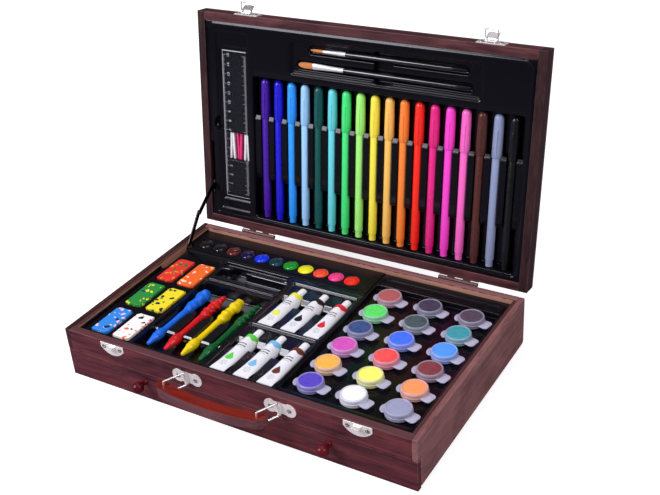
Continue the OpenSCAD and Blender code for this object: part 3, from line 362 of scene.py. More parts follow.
# rim: the top faces are painted paler, as light falls on them; bare is the real unstained band.
STAIN_REAR = stained_wood("mahogany stain, rear board", "X",
                          ((50, 20, 28), (92, 38, 46), (124, 52, 54)), (142, 104, 104),
                          bare=(108.3, 53.3, (202, 150, 128)), rim=(53.35, (150, 108, 108)))
LINER_WOOD = bare_wood("liner board", "Y", (140, 94, 76), (204, 148, 118),
                       stain=(52.85, (80, 46, 46)))
RAW_X = bare_wood("raw board, across", "X", (120, 78, 60), (180, 128, 98))
DRAWER_WOOD = bare_wood("plain drawer board", "X", (176, 140, 104), (214, 182, 142))
KNOB_WOOD = stained_wood("dark red varnish", "Y",
                         ((46, 8, 14), (92, 20, 28), (116, 30, 36)), (100, 30, 34), 0.2)
# Grip: the main tones paint a lavender sheen on its sides, the upper tones are the red varnish of
# its top, and the edge tone is a painted highlight line.
GRIP_FINISH = stained_wood("polished red brown grip", "X",
                           ((82, 46, 52), (98, 58, 64), (112, 70, 74)), (150, 72, 56), 0.24,
                           upper=((92, 20, 12), (118, 28, 18), (132, 38, 24)))
TRAY_BLACK = formed_sheet("formed black sheet", (0.0022, 0.002, 0.004, 1), 0.2, 0.3)
TRAY_GLOSS = formed_sheet("glossy tray sheet", (0.0026, 0.0024, 0.005, 1), 0.2, 0.85)
TRAY_SATIN = formed_sheet("satin palette sheet", (0.0042, 0.0036, 0.0056, 1), 0.3, 0.2)
TRAY_LOOKS = {"tube_tray": TRAY_GLOSS, "crayon_tray": TRAY_GLOSS, "palette_tray": TRAY_SATIN}
NICKEL = plated("thin nickel plating", (0.84, 0.79, 0.77, 1), 0.22, 0.3, 0.72)
PLATE_NICKEL = plated("nickel plate", (0.96, 0.88, 0.85, 1), 0.24, 0.35, 0.42)
SCREW_METAL = plated("screw metal", (0.4, 0.36, 0.35, 1), 0.3, 0.25, 0.8)
# Hinge and stay-pin metal: its brown is a painted reflection of the case wood in the plated
# knuckles.
BROWN_REFLECTION_METAL = plated("metal with painted brown reflection", (0.13, 0.07, 0.06, 1), 0.42, 0.3, 0.4)
STEEL_PIN = plated("plain steel pin", (0.45, 0.45, 0.47, 1), 0.35)
STAY_BLACK = plated("black lacquered strip", (0.05, 0.042, 0.04, 1), 0.3)
FERRULE = plated("polished aluminium", (0.82, 0.82, 0.86, 1), 0.3, 0.8, 0.5)
GEL = moulded("gelled paint", 0.12, 0.8, 0.2)
WAX = moulded("moulded wax", 0.26, 0.0, 0.1)
BRIGHT = moulded("bright moulded plastic", 0.3, 0.1, 0.06)
TUBE_WHITE = moulded("white tube film", 0.38, 0.0, 0.05)
PRINT = moulded("printed ink", 0.45, 0.0, 0.05, 0.0)
PAINT = moulded("still paint", 0.3, 0.2, 0.08)
LACQUER = moulded("brush lacquer", 0.16, 0.5, 0.2)
HAIR = moulded("brush hair", 0.6, 0.0, 0.5, 0.1)
RUBBER = flecked_rubber("flecked rubber")
POT_MILKY = milky("milky pot plastic", (0.68, 0.66, 0.84, 1), 0.6, 0.24)
POT_SIDE = stained_clear("tinted pot wall", (0.68, 0.66, 0.84, 1), 0.54, 0.8)
POT_TOP = stained_clear("painted lid disc", (0.8, 0.8, 0.9, 1), 0.94, 1.0)
RULER_CLEAR = milky("clear ruler", (0.6, 0.6, 0.75, 1), 0.006, 0.12)
# The edge material paints the light caught along the ruler's edges.
RULER_EDGE_HIGHLIGHT = milky("ruler's painted edge highlight", (0.8, 0.78, 0.88, 1), 0.5, 0.2)


# ---- Making pieces ----
def add_object(name, mesh):
    made = bpy.data.objects.new(name, mesh)
    bpy.context.scene.collection.objects.link(made)
    return made


def finish_piece(name, mesh, material, body, replaced=(), crease=40, even=False):
    """Names, shades and fastens a mesh whose place is already in its points."""
    mesh.materials.clear()
    mesh.materials.append(material)
    mesh.name = name
    mesh.shade_smooth()
    mesh.set_sharp_from_angle(angle=radians(crease))
    made = add_object(name, mesh)
    if even:
        made.modifiers.new("Even shading", "WEIGHTED_NORMAL").keep_sharp = True
    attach(made, body)
    if replaced:
        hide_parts(*replaced)
    return made


def nearest(point, places):
    return min(range(len(places)), key=lambda i: (Vector(places[i]) - point).length_squared)


def eased(node, width, material, segments=2, tints=None, crease=40):
    """The node's own form with its edges rounded. tints: name -> (places, colours)."""
    form = bmesh.new()
    form.from_mesh(frame["nodes"][node].data)
    bmesh.ops.remove_doubles(form, verts=form.verts, dist=2e-6)
    bmesh.ops.dissolve_limit(form, angle_limit=radians(1), verts=form.verts, edges=form.edges)
    form.normal_update()
    # The bevel faces are marked for the paler edge tone: wear on the boards, a painted highlight on
    # the grip.
    bevel_edge = form.faces.layers.float.new("bevel_edge")
    edges = [e for e in form.edges
             if len(e.link_faces) == 2 and e.calc_face_angle(0) > radians(32)]
    if width:
        made = bmesh.ops.bevel(form, geom=edges, offset=width * MM, segments=segments,
                               profile=0.5, affect="EDGES", clamp_overlap=True)
        for face in made["faces"]:
            face[bevel_edge] = 1.0
    mesh = bpy.data.meshes.new(node)
    form.to_mesh(mesh)
    form.free()
    for name, (places, colours) in (tints or {}).items():
        layer = mesh.attributes.new(name, "FLOAT_COLOR", "POINT")
        for vertex in mesh.vertices:
            layer.data[vertex.index].color = colours[nearest(vertex.co, places)]
    body = frame["nodes"][node]["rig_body"]
    return finish_piece(node + "_form", mesh, material, body, (node,), crease, True)


def lofted(rings, sides, capped=False):
    """A skin over rings of points; a ring of one point closes an end."""
    form = bmesh.new()
    rings = [[form.verts.new(point) for point in ring] for ring in rings]
    for first, second in zip(rings, rings[1:]):
        for k in range(sides):
            turns = ((first, k), (second, k), (second, k + 1), (first, k + 1))
            corners = list(dict.fromkeys(ring[at % len(ring)] for ring, at in turns))
            if len(corners) > 2:
                form.faces.new(corners)
    if capped:
        form.faces.new(rings[0])
        form.faces.new(rings[-1])
    bmesh.ops.recalc_face_normals(form, faces=form.faces)
    return form


def lathe(profile, sides=24, wobble=None):
    """A turned form along +Y. profile: (radius, distance); wobble(angle, distance) -> factor."""
    rings = []
    for radius, along in profile:
        ring = []
        for k in range(sides if radius else 1):
            angle = 2 * pi * k / sides
            grown = radius * (wobble(angle, along) if wobble else 1)
            ring.append((grown * cos(angle), along, grown * sin(angle)))
        rings.append(ring)
    return lofted(rings, sides)


def stood_up(form):
    """Turns a lathe form from +Y to +Z."""
    bmesh.ops.rotate(form, verts=form.verts, cent=(0, 0, 0), matrix=Matrix.Rotation(pi / 2, 3, "X"))
    return form


def block(low, high, ease=0.0, segments=2):
    form = bmesh.new()
    bmesh.ops.create_cube(form, size=1)
    low, high = Vector(low), Vector(high)
    for vertex in form.verts:
        vertex.co = [low[i] + (vertex.co[i] + 0.5) * (high[i] - low[i]) for i in range(3)]
    if ease:
        bmesh.ops.bevel(form, geom=form.edges, offset=ease, segments=segments, profile=0.5,
                        affect="EDGES", clamp_overlap=True)
    return form


def slab(outline, low, high, ease=0.0):
    """A flat plate with the given outline, from low to high along Z."""
    form = bmesh.new()
    base = form.faces.new([form.verts.new((x, y, low)) for x, y in outline])
    raised = bmesh.ops.extrude_face_region(form, geom=[base])
    moved = [v for v in raised["geom"] if isinstance(v, bmesh.types.BMVert)]
    bmesh.ops.translate(form, verts=moved, vec=(0, 0, high - low))
    bmesh.ops.recalc_face_normals(form, faces=form.faces)
    if ease:
        bmesh.ops.bevel(form, geom=form.edges, offset=ease, segments=2, profile=0.5,
                        affect="EDGES", clamp_overlap=True)
    return form


def joined(*forms):
    whole = bmesh.new()
    for form in forms:
        mesh = bpy.data.meshes.new("part")
        form.to_mesh(mesh)
        form.free()
        whole.from_mesh(mesh)
        bpy.data.meshes.remove(mesh)
    return whole


# ---- Copies laid out by a node tree ----
def tree_inputs(tree, *wanted):
    """Adds the named inputs and one output, and returns each input's identifier."""
    face = tree.interface
    face.new_socket("Geometry", in_out="INPUT", socket_type="NodeSocketGeometry")
    keys = {name: face.new_socket(name, in_out="INPUT",
                                  socket_type="NodeSocket" + kind).identifier
            for name, kind in wanted + (("Material", "Material"),)}
    face.new_socket("Geometry", in_out="OUTPUT", socket_type="NodeSocketGeometry")
    return keys


def end_tree(tree, geometry, material):
    real = add_node(tree, "GeometryNodeRealizeInstances", {"Geometry": geometry})
    dressed = add_node(tree, "GeometryNodeSetMaterial", {"Geometry": real.outputs[0],
                                                         "Material": material})
    add_node(tree, "NodeGroupOutput", {"Geometry": dressed.outputs[0]})


def layout_tree():
    """One copy of Shape at each point, turned by the point's own 'turn'."""
    tree = bpy.data.node_groups.new("Lay out copies", "GeometryNodeTree")
    keys = tree_inputs(tree, ("Shape", "Object"), ("Size", "Float"), ("Wobble", "Float"),
                       ("Seed", "Int"))
    given = add_node(tree, "NodeGroupInput").outputs
    points = add_node(tree, "GeometryNodeMeshToPoints", {"Mesh": given["Geometry"]})
    shape = add_node(tree, "GeometryNodeObjectInfo", {"Object": given["Shape"]})
    turn = add_node(tree, "GeometryNodeInputNamedAttribute", {"Name": "turn"},
                    data_type="FLOAT_VECTOR")
    less = add_node(tree, "ShaderNodeMath", {0: 0.0, 1: given["Wobble"]}, operation="SUBTRACT")
    chance = add_node(tree, "FunctionNodeRandomValue", {
        "Seed": given["Seed"], 2: less.outputs[0], 3: given["Wobble"]}, data_type="FLOAT")
    extra = add_node(tree, "ShaderNodeCombineXYZ", {"Z": chance.outputs[1]})
    total = add_node(tree, "ShaderNodeVectorMath", {0: turn.outputs["Attribute"],
                                                    1: extra.outputs[0]}, operation="ADD")
    rotation = add_node(tree, "FunctionNodeEulerToRotation", {"Euler": total.outputs[0]})
    placed = add_node(tree, "GeometryNodeInstanceOnPoints", {
        "Points": points.outputs["Points"], "Instance": shape.outputs["Geometry"],
        "Rotation": rotation.outputs["Rotation"], "Scale": given["Size"]})
    end_tree(tree, placed.outputs[0], given["Material"])
    return tree, keys


def wire_tree():
    """A round wire along the path, with its corners bent to a radius."""
    tree = bpy.data.node_groups.new("Bend wire", "GeometryNodeTree")
    keys = tree_inputs(tree, ("Radius", "Float"), ("Bend", "Float"), ("Sides", "Int"))
    given = add_node(tree, "NodeGroupInput").outputs
    path = add_node(tree, "GeometryNodeMeshToCurve", {"Mesh": given["Geometry"]})
    bent = add_node(tree, "GeometryNodeFilletCurve", {
        "Curve": path.outputs["Curve"], "Radius": given["Bend"], "Count": 5}, mode="POLY")
    ring = add_node(tree, "GeometryNodeCurvePrimitiveCircle", {
        "Radius": given["Radius"], "Resolution": given["Sides"]})
    tube = add_node(tree, "GeometryNodeCurveToMesh", {
        "Curve": bent.outputs["Curve"], "Profile Curve": ring.outputs["Curve"],
        "Fill Caps": True})
    end_tree(tree, tube.outputs[0], given["Material"])
    return tree, keys


LAYOUT, WIRE = layout_tree(), wire_tree()


def grow(name, start, grower, values, look, home, replaced, crease=40):
    """Runs a node tree on the start mesh and finishes the plain mesh it gives."""
    tree, keys = grower
    carrier = add_object(name, start)
    modifier = carrier.modifiers.new("Made by nodes", "NODES")
    modifier.node_group = tree
    for key, value in values.items():
        modifier[keys[key]] = value
    modifier[keys["Material"]] = look
    carrier.update_tag()
    bpy.context.view_layer.update()
    depsgraph = bpy.context.evaluated_depsgraph_get()
    mesh = bpy.data.meshes.new_from_object(carrier.evaluated_get(depsgraph))
    carrier.modifiers.remove(modifier)
    bpy.data.objects.remove(carrier)
    bpy.data.meshes.remove(start)
    body, frame_of = home
    mesh.transform(TO_METRES @ frame_of)
    return finish_piece(name, mesh, look, body, replaced, crease)


def copies(name, form, places, look, home, replaced=(), wobble=0.0, seed=1, crease=40):
    """One mesh with a copy of the form at each place: (position, turn, tint)."""
    shape_mesh = bpy.data.meshes.new(name + " shape")
    form.to_mesh(shape_mesh)
    form.free()
    shape = add_object(name + " shape", shape_mesh)
    points = bpy.data.meshes.new(name + " places")
    points.from_pydata([p[0] for p in places], [], [])
    points.attributes.new("turn", "FLOAT_VECTOR", "POINT")
    points.attributes.new("tint", "FLOAT_COLOR", "POINT")
    turn, tint = points.attributes["turn"], points.attributes["tint"]
    for index, (_, angles, colour) in enumerate(places):
        turn.data[index].vector = angles
        tint.data[index].color = colour
    values = {"Shape": shape, "Size": 1.0, "Wobble": wobble, "Seed": seed}
    grow(name, points, LAYOUT, values, look, home, replaced, crease)
    bpy.data.objects.remove(shape)
    bpy.data.meshes.remove(shape_mesh)


def unturned(points, tints):
    """Places for copies that keep the form's own heading."""
    return [(point, (0, 0, 0), tint) for point, tint in zip(points, tints)]


# ---- Case, drawer and lid boards ----
def make_boards():
    eased("case_front_board", 0.7, STAIN_X)
    eased("drawer_front", 0.35, STAIN_X)
    eased("case_rear_board", 0.6, STAIN_REAR)
    eased("case_left_board", 0.7, STAIN_LEFT)
    eased("case_right_board", 0.7, STAIN_RIGHT)
    for node in ("case_left_liner", "case_right_liner"):
        eased(node, 0.3, LINER_WOOD)
    for node in ("case_shelf", "case_bottom"):
        eased(node, 0.3, RAW_X)
    for node in ("drawer_sides", "drawer_back", "drawer_bottom"):
        eased(node, 0.3, DRAWER_WOOD)
    for node in ("lid_front_rail", "lid_rear_rail", "lid_panel"):
        eased(node, 0.6, STAIN_LID)
    for node in ("lid_left_rail", "lid_right_rail"):
        eased(node, 0.6, STAIN_LID_UP)


def make_knobs():
    profile = [(0, 0), (3.6, 0), (3.6, 0.8), (3.0, 1.6), (2.7, 3.0), (2.7, 5.0), (3.1, 5.8)]
    profile += [(5.9 * cos(radians(a)), 10.8 + 5.9 * sin(radians(a)))
                for a in range(-52, 90, 10)]
    profile += [(0, 16.7)]
    spots = [((4.8 + s * 99.3, FRONT_Y, 20.4), (pi, 0, 0), (0, 0, 0, 1)) for s in (-1, 1)]
    copies("drawer_knob_turnings", lathe(profile, 32), spots, KNOB_WOOD,
           ("drawer", Matrix.Identity(4)), ("drawer_knobs",))


# ---- Formed trays ----
def drop(d, depth, wall, bend):
    """How far a pressed wall has fallen at a distance d in from its edge."""
    top = np.clip(d + bend, 0, bend)
    foot = np.clip(wall + bend - d, 0, bend)
    rounded = bend - np.sqrt(bend ** 2 - top ** 2)
    landed = bend - np.sqrt(bend ** 2 - foot ** 2)
    straight = np.clip(d / wall, 0, 1) * max(depth - 2 * bend, 0)
    share = min(1.0, depth / (2 * bend))
    fallen = np.where(d <= 0, rounded * share,
                      np.where(d < wall, bend * share + straight, depth - landed * share))
    return np.clip(fallen, 0, depth)


class FormedSheet:
    """A thin sheet over a mould: a grid of heights, with lines only where the form bends."""
    least = 0.07

    def __init__(self, low, high, top, base, edge_bend=0.8):
        self.low, self.high, self.top, self.base, self.edge_bend = low, high, top, base, edge_bend
        self.forms = []
        self.lines = [set(), set()]
        for axis in (0, 1):
            for t in (0, 0.12, 0.4, 1):
                self.mark(axis, low[axis] + t * edge_bend)
                self.mark(axis, high[axis] - t * edge_bend)

    def mark(self, axis, value):
        if self.low[axis] <= value <= self.high[axis]:
            self.lines[axis].add(round(value, 2))

    def mark_edges(self, box, wall, bend, corner, walls):
        names = (("left", "right"), ("front", "rear"))
        for axis in (0, 1):
            for side, edge, inward in ((0, box[axis], 1), (1, box[axis + 2], -1)):
                slope = walls.get(names[axis][side], wall)
                steps = [-bend, -0.4 * bend, -0.08 * bend, 0, slope, slope + 0.3 * bend,
                         slope + bend]
                if corner > 1:
                    steps += [corner * 0.3, corner * 0.62, corner]
                if slope > 3:
                    steps += [slope / 2]
                for step in steps:
                    self.mark(axis, edge + inward * step)

    def inset(self, X, Y, box, corner):
        half = ((box[2] - box[0]) / 2, (box[3] - box[1]) / 2)
        r = min(corner, *half)
        qx = np.abs(X - (box[0] + box[2]) / 2) - half[0] + r
        qy = np.abs(Y - (box[1] + box[3]) / 2) - half[1] + r
        outside = np.hypot(np.maximum(qx, 0), np.maximum(qy, 0))
        return -(outside + np.minimum(np.maximum(qx, qy), 0) - r)

    def wall_in(self, box, low, high, wall, bend, corner, walls, raised):
        """Walls round a box, falling inwards from high to low, or rising from low to high."""
        self.mark_edges(box, wall, bend, corner, walls)
        depth = high - low

        def form(X, Y, H):
            inner = self.inset(X, Y, box, corner)
            away = {"left": X - box[0], "right": box[2] - X,
                    "front": Y - box[1], "rear": box[3] - Y}
            reach = [(inner, wall)] + [(away[side], slope) for side, slope in walls.items()]
            if raised:
                risen = [depth - drop(w - d, depth, w, bend) for d, w in reach]
                return np.where(inner > 0, np.maximum(H, low + np.minimum.reduce(risen)), H)
            fallen = np.minimum.reduce([drop(d, depth, w, bend) for d, w in reach])
            return np.where(inner > -bend, np.minimum(H, high - fallen), H)
        self.forms.append(form)

    def press(self, box, floor, wall=0.8, bend=0.6, corner=2.0, top=None, **walls):
        """A pocket down to floor; walls names a side that slopes over another width."""
        top = self.top if top is None else top
        self.wall_in(box, floor, top, wall, bend, corner, walls, False)

    def lift(self, box, level, ground, wall=0.8, bend=0.6, corner=2.0, **walls):
        """A raised form up to level inside a pocket whose floor is at ground."""
        self.wall_in(box, ground, level, wall, bend, corner, walls, True)

    def round(self, x, y, radius, floor, wall=0.4, bend=0.4, steps=6):
        """A round pocket."""
        for grown in (radius + bend, radius - wall):
            for k in range(steps + 1):
                offset = grown * cos(k * pi / 2 / steps)
                for value in (-offset, offset):
                    self.mark(0, x + value)
                    self.mark(1, y + value)

        def form(X, Y, H):
            inner = radius - np.hypot(X - x, Y - y)
            fallen = drop(inner, self.top - floor, wall, bend)
            return np.where(inner > -bend, np.minimum(H, self.top - fallen), H)
        self.forms.append(form)

    def ridge(self, box, height, width=1.2, corner=4.0):
        """A low bead running round a rectangle."""
        self.mark_edges(box, width, width / 2, corner, {})

        def form(X, Y, H):
            away = np.abs(self.inset(X, Y, box, corner)) / width
            return H + height * np.clip(1 - away ** 2, 0, 1)
        self.forms.append(form)

    def thinned(self, axis):
        kept = []
        for value in sorted(self.lines[axis]):
            if kept and value - kept[-1] < self.least:
                continue
            kept.append(value)
        kept[-1] = self.high[axis]
        return np.array(kept)

    def heights(self, xs, ys):
        X, Y = np.meshgrid(xs, ys)
        H = np.full(X.shape, float(self.top))
        for form in self.forms:
            H = form(X, Y, H)
        rim = np.minimum.reduce([X - self.low[0], self.high[0] - X, Y - self.low[1],
                                 self.high[1] - Y])
        bend = self.edge_bend
        lip = bend - np.sqrt(np.maximum(0, bend ** 2 - np.clip(bend - rim, 0, bend) ** 2))
        return X, Y, H - lip

    def needed(self, places, rows, slack=0.012):
        """The lines that stay when those on a straight run between others are left out."""
        kept = [0]
        for last in range(2, len(places)):
            first = kept[-1]
            share = (places[first + 1:last] - places[first]) / (places[last] - places[first])
            straight = rows[first] + share[:, None] * (rows[last] - rows[first])
            if np.abs(rows[first + 1:last] - straight).max() > slack:
                kept.append(last - 1)
        return places[kept + [len(places) - 1]]

    def mesh(self, name, frame_of):
        xs, ys = self.thinned(0), self.thinned(1)
        H = self.heights(xs, ys)[2]
        xs, ys = self.needed(xs, H.T), self.needed(ys, H)
        X, Y, H = self.heights(xs, ys)
        columns, rows = len(xs), len(ys)
        points = np.stack([X, Y, H], axis=-1).reshape(-1, 3).tolist()
        faces = [(j * columns + i, j * columns + i + 1, (j + 1) * columns + i + 1,
                  (j + 1) * columns + i) for j in range(rows - 1) for i in range(columns - 1)]
        around = (list(range(columns))
                  + [j * columns + columns - 1 for j in range(1, rows)]
                  + [(rows - 1) * columns + i for i in range(columns - 2, -1, -1)]
                  + [j * columns for j in range(rows - 2, 0, -1)])
        first = len(points)
        points += [[points[k][0], points[k][1], self.base] for k in around]
        count = len(around)
        faces += [(around[k], first + k, first + (k + 1) % count, around[(k + 1) % count])
                  for k in range(count)]
        faces.append([first + k for k in range(count - 1, -1, -1)])
        mesh = bpy.data.meshes.new(name)
        mesh.from_pydata(points, [], faces)
        mesh.transform(TO_METRES @ frame_of)
        return mesh


def lay_sheet(sheet, node, home):
    body, frame_of = home
    look = TRAY_LOOKS.get(node, TRAY_BLACK)
    finish_piece(node + "_sheet", sheet.mesh(node, frame_of), look, body,
                 (node,), 62)


def make_case_trays():
    base = SHELF_TOP + 0.05
    slot = (-1, PALETTE_Y - 1, 4.9, 184.3)
    palette = FormedSheet((0, PALETTE_Y + 0.3), (221.4, TRAY_LEN), TRAY_TOP + 0.8, base, 0.5)
    palette.lift((-2, PALETTE_Y - 1, 0.9, TRAY_LEN + 1), TRAY_TOP + LIP_H, TRAY_TOP + 0.8,
                 0.4, 0.2, 0.3)
    palette.press(slot, CASE_H - 12, corner=0.5)
    for i in range(11):
        palette.round(PAN_X + PAN_PITCH * i, PAN_Y, 8.55, TRAY_TOP - 2, steps=8)
    palette.ridge((6.5, 176.5, 215, 200.5), 0.35, 0.9, 5)
    lay_sheet(palette, "palette_tray", IN_CASE)

    erasers = FormedSheet((0, 0), (56.6, PALETTE_Y), TRAY_TOP, base, 0.5)
    erasers.lift((-2, -1, 0.9, PALETTE_Y + 1), TRAY_TOP + LIP_H, TRAY_TOP, 0.4, 0.2, 0.3)
    for x in ERASER_X:
        for y in ERASER_Y:
            erasers.press((x - 10.4, y - 21.2, x + 10.4, y + 21.2), TRAY_TOP - 9.4, 0.8, 0.6, 3)
    erasers.press((-1, 130.9, 4.9, PALETTE_Y + 1), CASE_H - 12, corner=0.5)
    lay_sheet(erasers, "eraser_tray", IN_CASE)

    left, right = 58.3, 140.7
    crayons = FormedSheet((56.9, 0), (142.1, PALETTE_Y), TRAY_TOP, base, 0.5)
    crayons.press((left - 0.6, 8, right + 0.6, 133.6), TRAY_TOP - 1.6, 0.3, 0.3, 3.5)
    crayons.press((left, 9, right, 127), FLOOR_Z, 1.4, 0.8, 3.5, front=4.5)
    crayons.lift((left - 3, 40.6, right + 3, 83.4), 41.6, FLOOR_Z, 0.9, 0.4, 2)
    crayons.lift((left - 3, 41.2, right + 3, 83), 43.6, 41.6, 0.9, 0.2, 2, front=1.9)
    for i in range(4):
        x = CRAYON_X + i * CRAYON_PITCH
        crayons.press((x - 5.3, 30, x + 5.3, 92), FLOOR_Z, 0.9, 0.7, 3, 43.6)
        crayons.press((x - 9, 73, x + 9, 104), FLOOR_Z, 0.9, 0.7, 8.5, 43.6)
    crayons.press((61.3, 141, 140.2, 157), 38.5, 1.0, 0.7, 3)
    crayons.press((96, 152, 140.2, 159.4), TRAY_TOP - 1.7, 0.8, 0.3, 2, rear=1.6)
    crayons.press((70, 144, 91, 166.5), 36.5, 0.9, 0.7, 2)
    crayons.press((58.5, 159, 136, 168.5), 44.6, 0.6, 0.4, 1.5)
    lay_sheet(crayons, "crayon_tray", IN_CASE)

    tubes = FormedSheet((142.4, 0), (221.4, PALETTE_Y), TRAY_TOP, base, 0.5)
    for y in TUBE_Y:
        tubes.press((144.2, y + 1.6, 219.6, y + 76), 45.4, 0.8, 0.6, 3)
        tubes.press((145.4, y + 38.6, 218.4, y + 50.6), FLOOR_Z, 0.9, 0.6, 2, 45.4)
        tubes.press((145.4, y + 45, 218.4, y + 55), 41.2, 0.9, 0.3, 1.5, 45.4, rear=4.4)
        for x in TUBE_X:
            tubes.press((x - 8.4, y - 0.8, x + 8.4, y + 60.5), FLOOR_Z, 0.9, 0.7, 2.5)
            tubes.press((x - 5.8, y + 56, x + 5.8, y + 74.6), FLOOR_Z, 0.9, 0.7, 3)
    lay_sheet(tubes, "tube_tray", IN_CASE)

    pots = FormedSheet((221.7, 0), (2 * INNER_X, TRAY_LEN), TRAY_TOP, base, 0.5)
    pots.press((223.7, 10.6, 353, 194.2), 42.9, 0.8, 0.6, 3)
    pots.press((226, 199, 350, 209), TRAY_TOP - 1.4, 0.9, 0.6, 3)
    for x, y in POT_PLACES:
        pots.round(x, y, CUP_R + 0.4, FLOOR_Z)
    lay_sheet(pots, "pot_tray", IN_CASE)


def make_lid_tray():
    top, floor = -1.5, -12.2
    width, length = 2 * INNER_X, 213.2
    sheet = FormedSheet((0, 0), (width, length), top - 0.8, -LID_DEPTH + 0.05, 0.4)
    sheet.least = 0.17
    sheet.lift((1.6, 1.6, width - 1.6, length - 1.6), top, top - 0.8, 0.7, 0.4, 4)
    sheet.top = top
    sheet.ridge((3, 3, width - 3, length - 3), 0.6, 1.15, 7)
    sheet.press((11.8, 9.3, 51.4, 203.3), top - 1.2, 0.8, 0.5, 2.5)
    sheet.press((14.6, 20, 51, 188.4), -4, 0.8, 0.5, 2, top - 1.2)
    sheet.round(15.6, 104.3, 8.5, -7, steps=6)
    sheet.press((20.6, 65, 48, 96), -11, 0.9, 0.6, 2, -4)
    sheet.press((56.8, 6.4, 350.6, 161), floor, 1.4, 0.9, 3.5, rear=3, front=2.5)
    sheet.lift((56, 49.3, 351.4, 119.7), -5.4, floor, 0.9, 0.5, 1)
    sheet.lift((56, 49.8, 351.4, 119.5), -4, -5.4, 0.8, 0.2, 1, front=1.4, rear=2.8)
    for x in MARKER_X:
        sheet.press((x - 4.7, 44, x + 4.7, 125), floor, 0.5, 0.5, 2, -4)
        sheet.press((x - 5.4, 115.6, x + 5.4, 127), floor, 0.5, 0.5, 3, -4)
    sheet.press((102.6, 168.6, 307.2, 204.4), top - 1.1, 0.8, 0.5, 3)
    sheet.press((104.6, 170.8, 305.4, 202.4), -4, 0.8, 0.5, 2.5, top - 1.1)
    sheet.press((195.8, 170.3, 216.8, 202.3), -10, 1.2, 0.7, 3)
    for tip, y, run in (SMALL_BRUSH, FLAT_BRUSH):
        sheet.press((tip - 2, y - 4.6, tip + run + 3, y + 4.6), -7, 1.0, 0.6, 4, -4)
    sheet.press((-1, 28.5, 4.9, 83.4), -7.5, corner=0.5)
    lay_sheet(sheet, "lid_tray", IN_LID)


# ---- Supplies in the case ----
ERASER_LOOKS = [lit(*look) for look in (  # base, chips, smaller chips
    ((44, 136, 222), (250, 196, 226), (24, 34, 90)),
    ((38, 142, 58), (232, 226, 60), (26, 56, 120)),
    ((226, 52, 40), (246, 150, 40), (60, 110, 50)),
    ((248, 242, 238), (236, 110, 60), (28, 26, 34)),
    ((244, 222, 36), (40, 130, 50), (24, 40, 70)),
    ((246, 104, 36), (255, 232, 214), (255, 190, 90)))]


def make_erasers():
    spots = [CASE_TRAY @ Vector((x, y, 44)) * MM for x in ERASER_X for y in ERASER_Y]
    layers = {name: (spots, [look[i] for look in ERASER_LOOKS])
              for i, name in enumerate(("tint", "fleck_a", "fleck_b"))}
    eased("erasers", 0.7, RUBBER, 3, layers)


CRAYONS = (  # colour; the head's bulges (place after the neck, radius, spread), ribs, depth, turns
    ((24, 112, 236), ((4, 4.8, 4.4), (11, 5.6, 4.6), (18, 4.8, 3.6), (24, 5.8, 4.4),
                      (30, 6.4, 4.8), (35, 4.4, 2.8)), 3, 0.12, 0.4),
    ((218, 24, 28), ((3, 4.8, 4), (9, 5.4, 3.2), (15, 5.2, 2.8), (21, 6.2, 3), (27, 4.9, 2.8),
                     (33, 3.2, 2.6)), 4, 0.16, 0.8),
    ((250, 218, 0), ((4, 5.2, 4.6), (11, 5.9, 4), (17, 4.6, 3), (24, 6.1, 4.2), (30, 5.6, 3.8),
                     (35.5, 4.6, 2.6)), 3, 0.1, 0.3),
    ((0, 92, 40), ((3, 4.8, 4), (9, 5.6, 3.4), (16, 5.0, 3.2), (22, 4.6, 3), (28, 3.8, 2.8),
                   (34, 2.9, 2.4)), 4, 0.2, 0.9))


def crayon_form(bulges, ribs, depth, turns):
    """Slim point, ringed collar, thin shaft and a twisted figure on the end."""
    neck = CRAYON_L - 38
    profile = [(0, 0), (1.2, 0), (1.7, 0.4), (2.0, 1.2), (3.1, 7), (4.0, 11.8), (4.5, 12.4),
               (4.6, 13.2), (4.2, 13.8), (4.6, 15), (4.9, 17), (4.8, 20), (4.2, 22.6),
               (3.4, 24.6), (3.05, 28), (3.0, 38), (3.1, neck - 14), (3.4, neck - 8)]
    for step in range(52):
        y = neck - 5 + step * 42.4 / 51
        bulge = sum(max(0, r - 2.2) * exp(-((y - neck - at) / spread) ** 2)
                    for at, r, spread in bulges)
        profile.append((min(6.75, max(3.4 if step < 6 else 2.0, 2.2 + bulge)), y))
    profile += [(1.4, CRAYON_L - 0.2), (0, CRAYON_L)]

    def carved(angle, y):
        rise = min(1, max(0, (y - neck) / 7))
        fold = sin(ribs * angle + turns * y) + 0.5 * sin(2 * angle - 1.7 * turns * y + ribs)
        return 1 - rise * depth * (1 + fold * 0.66)
    return lathe(profile, 40, carved)


def make_crayons():
    for i, (tint, *head) in enumerate(CRAYONS):
        at = (CRAYON_X + i * CRAYON_PITCH, CRAYON_Y, BED_Z + CRAYON_R)
        place = (at, (0, i * 0.9, 0), srgb(*tint))
        copies(f"figure_crayon_{i + 1}", crayon_form(*head), [place], WAX, IN_CASE,
               ("figure_crayons",), crease=75)


PAN_TINTS = lit((12, 10, 18), (10, 10, 14), (94, 24, 24), (16, 10, 66), (12, 52, 230),
                (4, 56, 66), (20, 150, 20), (254, 242, 8), (254, 76, 36), (254, 58, 140),
                (250, 24, 10))


def make_pans():
    dome = [(0, 0.05), (8.0, 0.05), (8.15, 0.4), (8.15, 2.2), (7.9, 2.75), (7.2, 3.0), (6.7, 2.8)]
    dome += [(6.5 * cos(radians(a)), 2.8 + 1.7 * sin(radians(a))) for a in range(10, 90, 10)]
    dome += [(0, 4.5)]
    places = [(PAN_X + PAN_PITCH * i, PAN_Y, TRAY_TOP - 2) for i in range(11)]
    copies("watercolour_domes", stood_up(lathe(dome, 32)), unturned(places, PAN_TINTS), GEL,
           IN_CASE, ("watercolour_pans",))


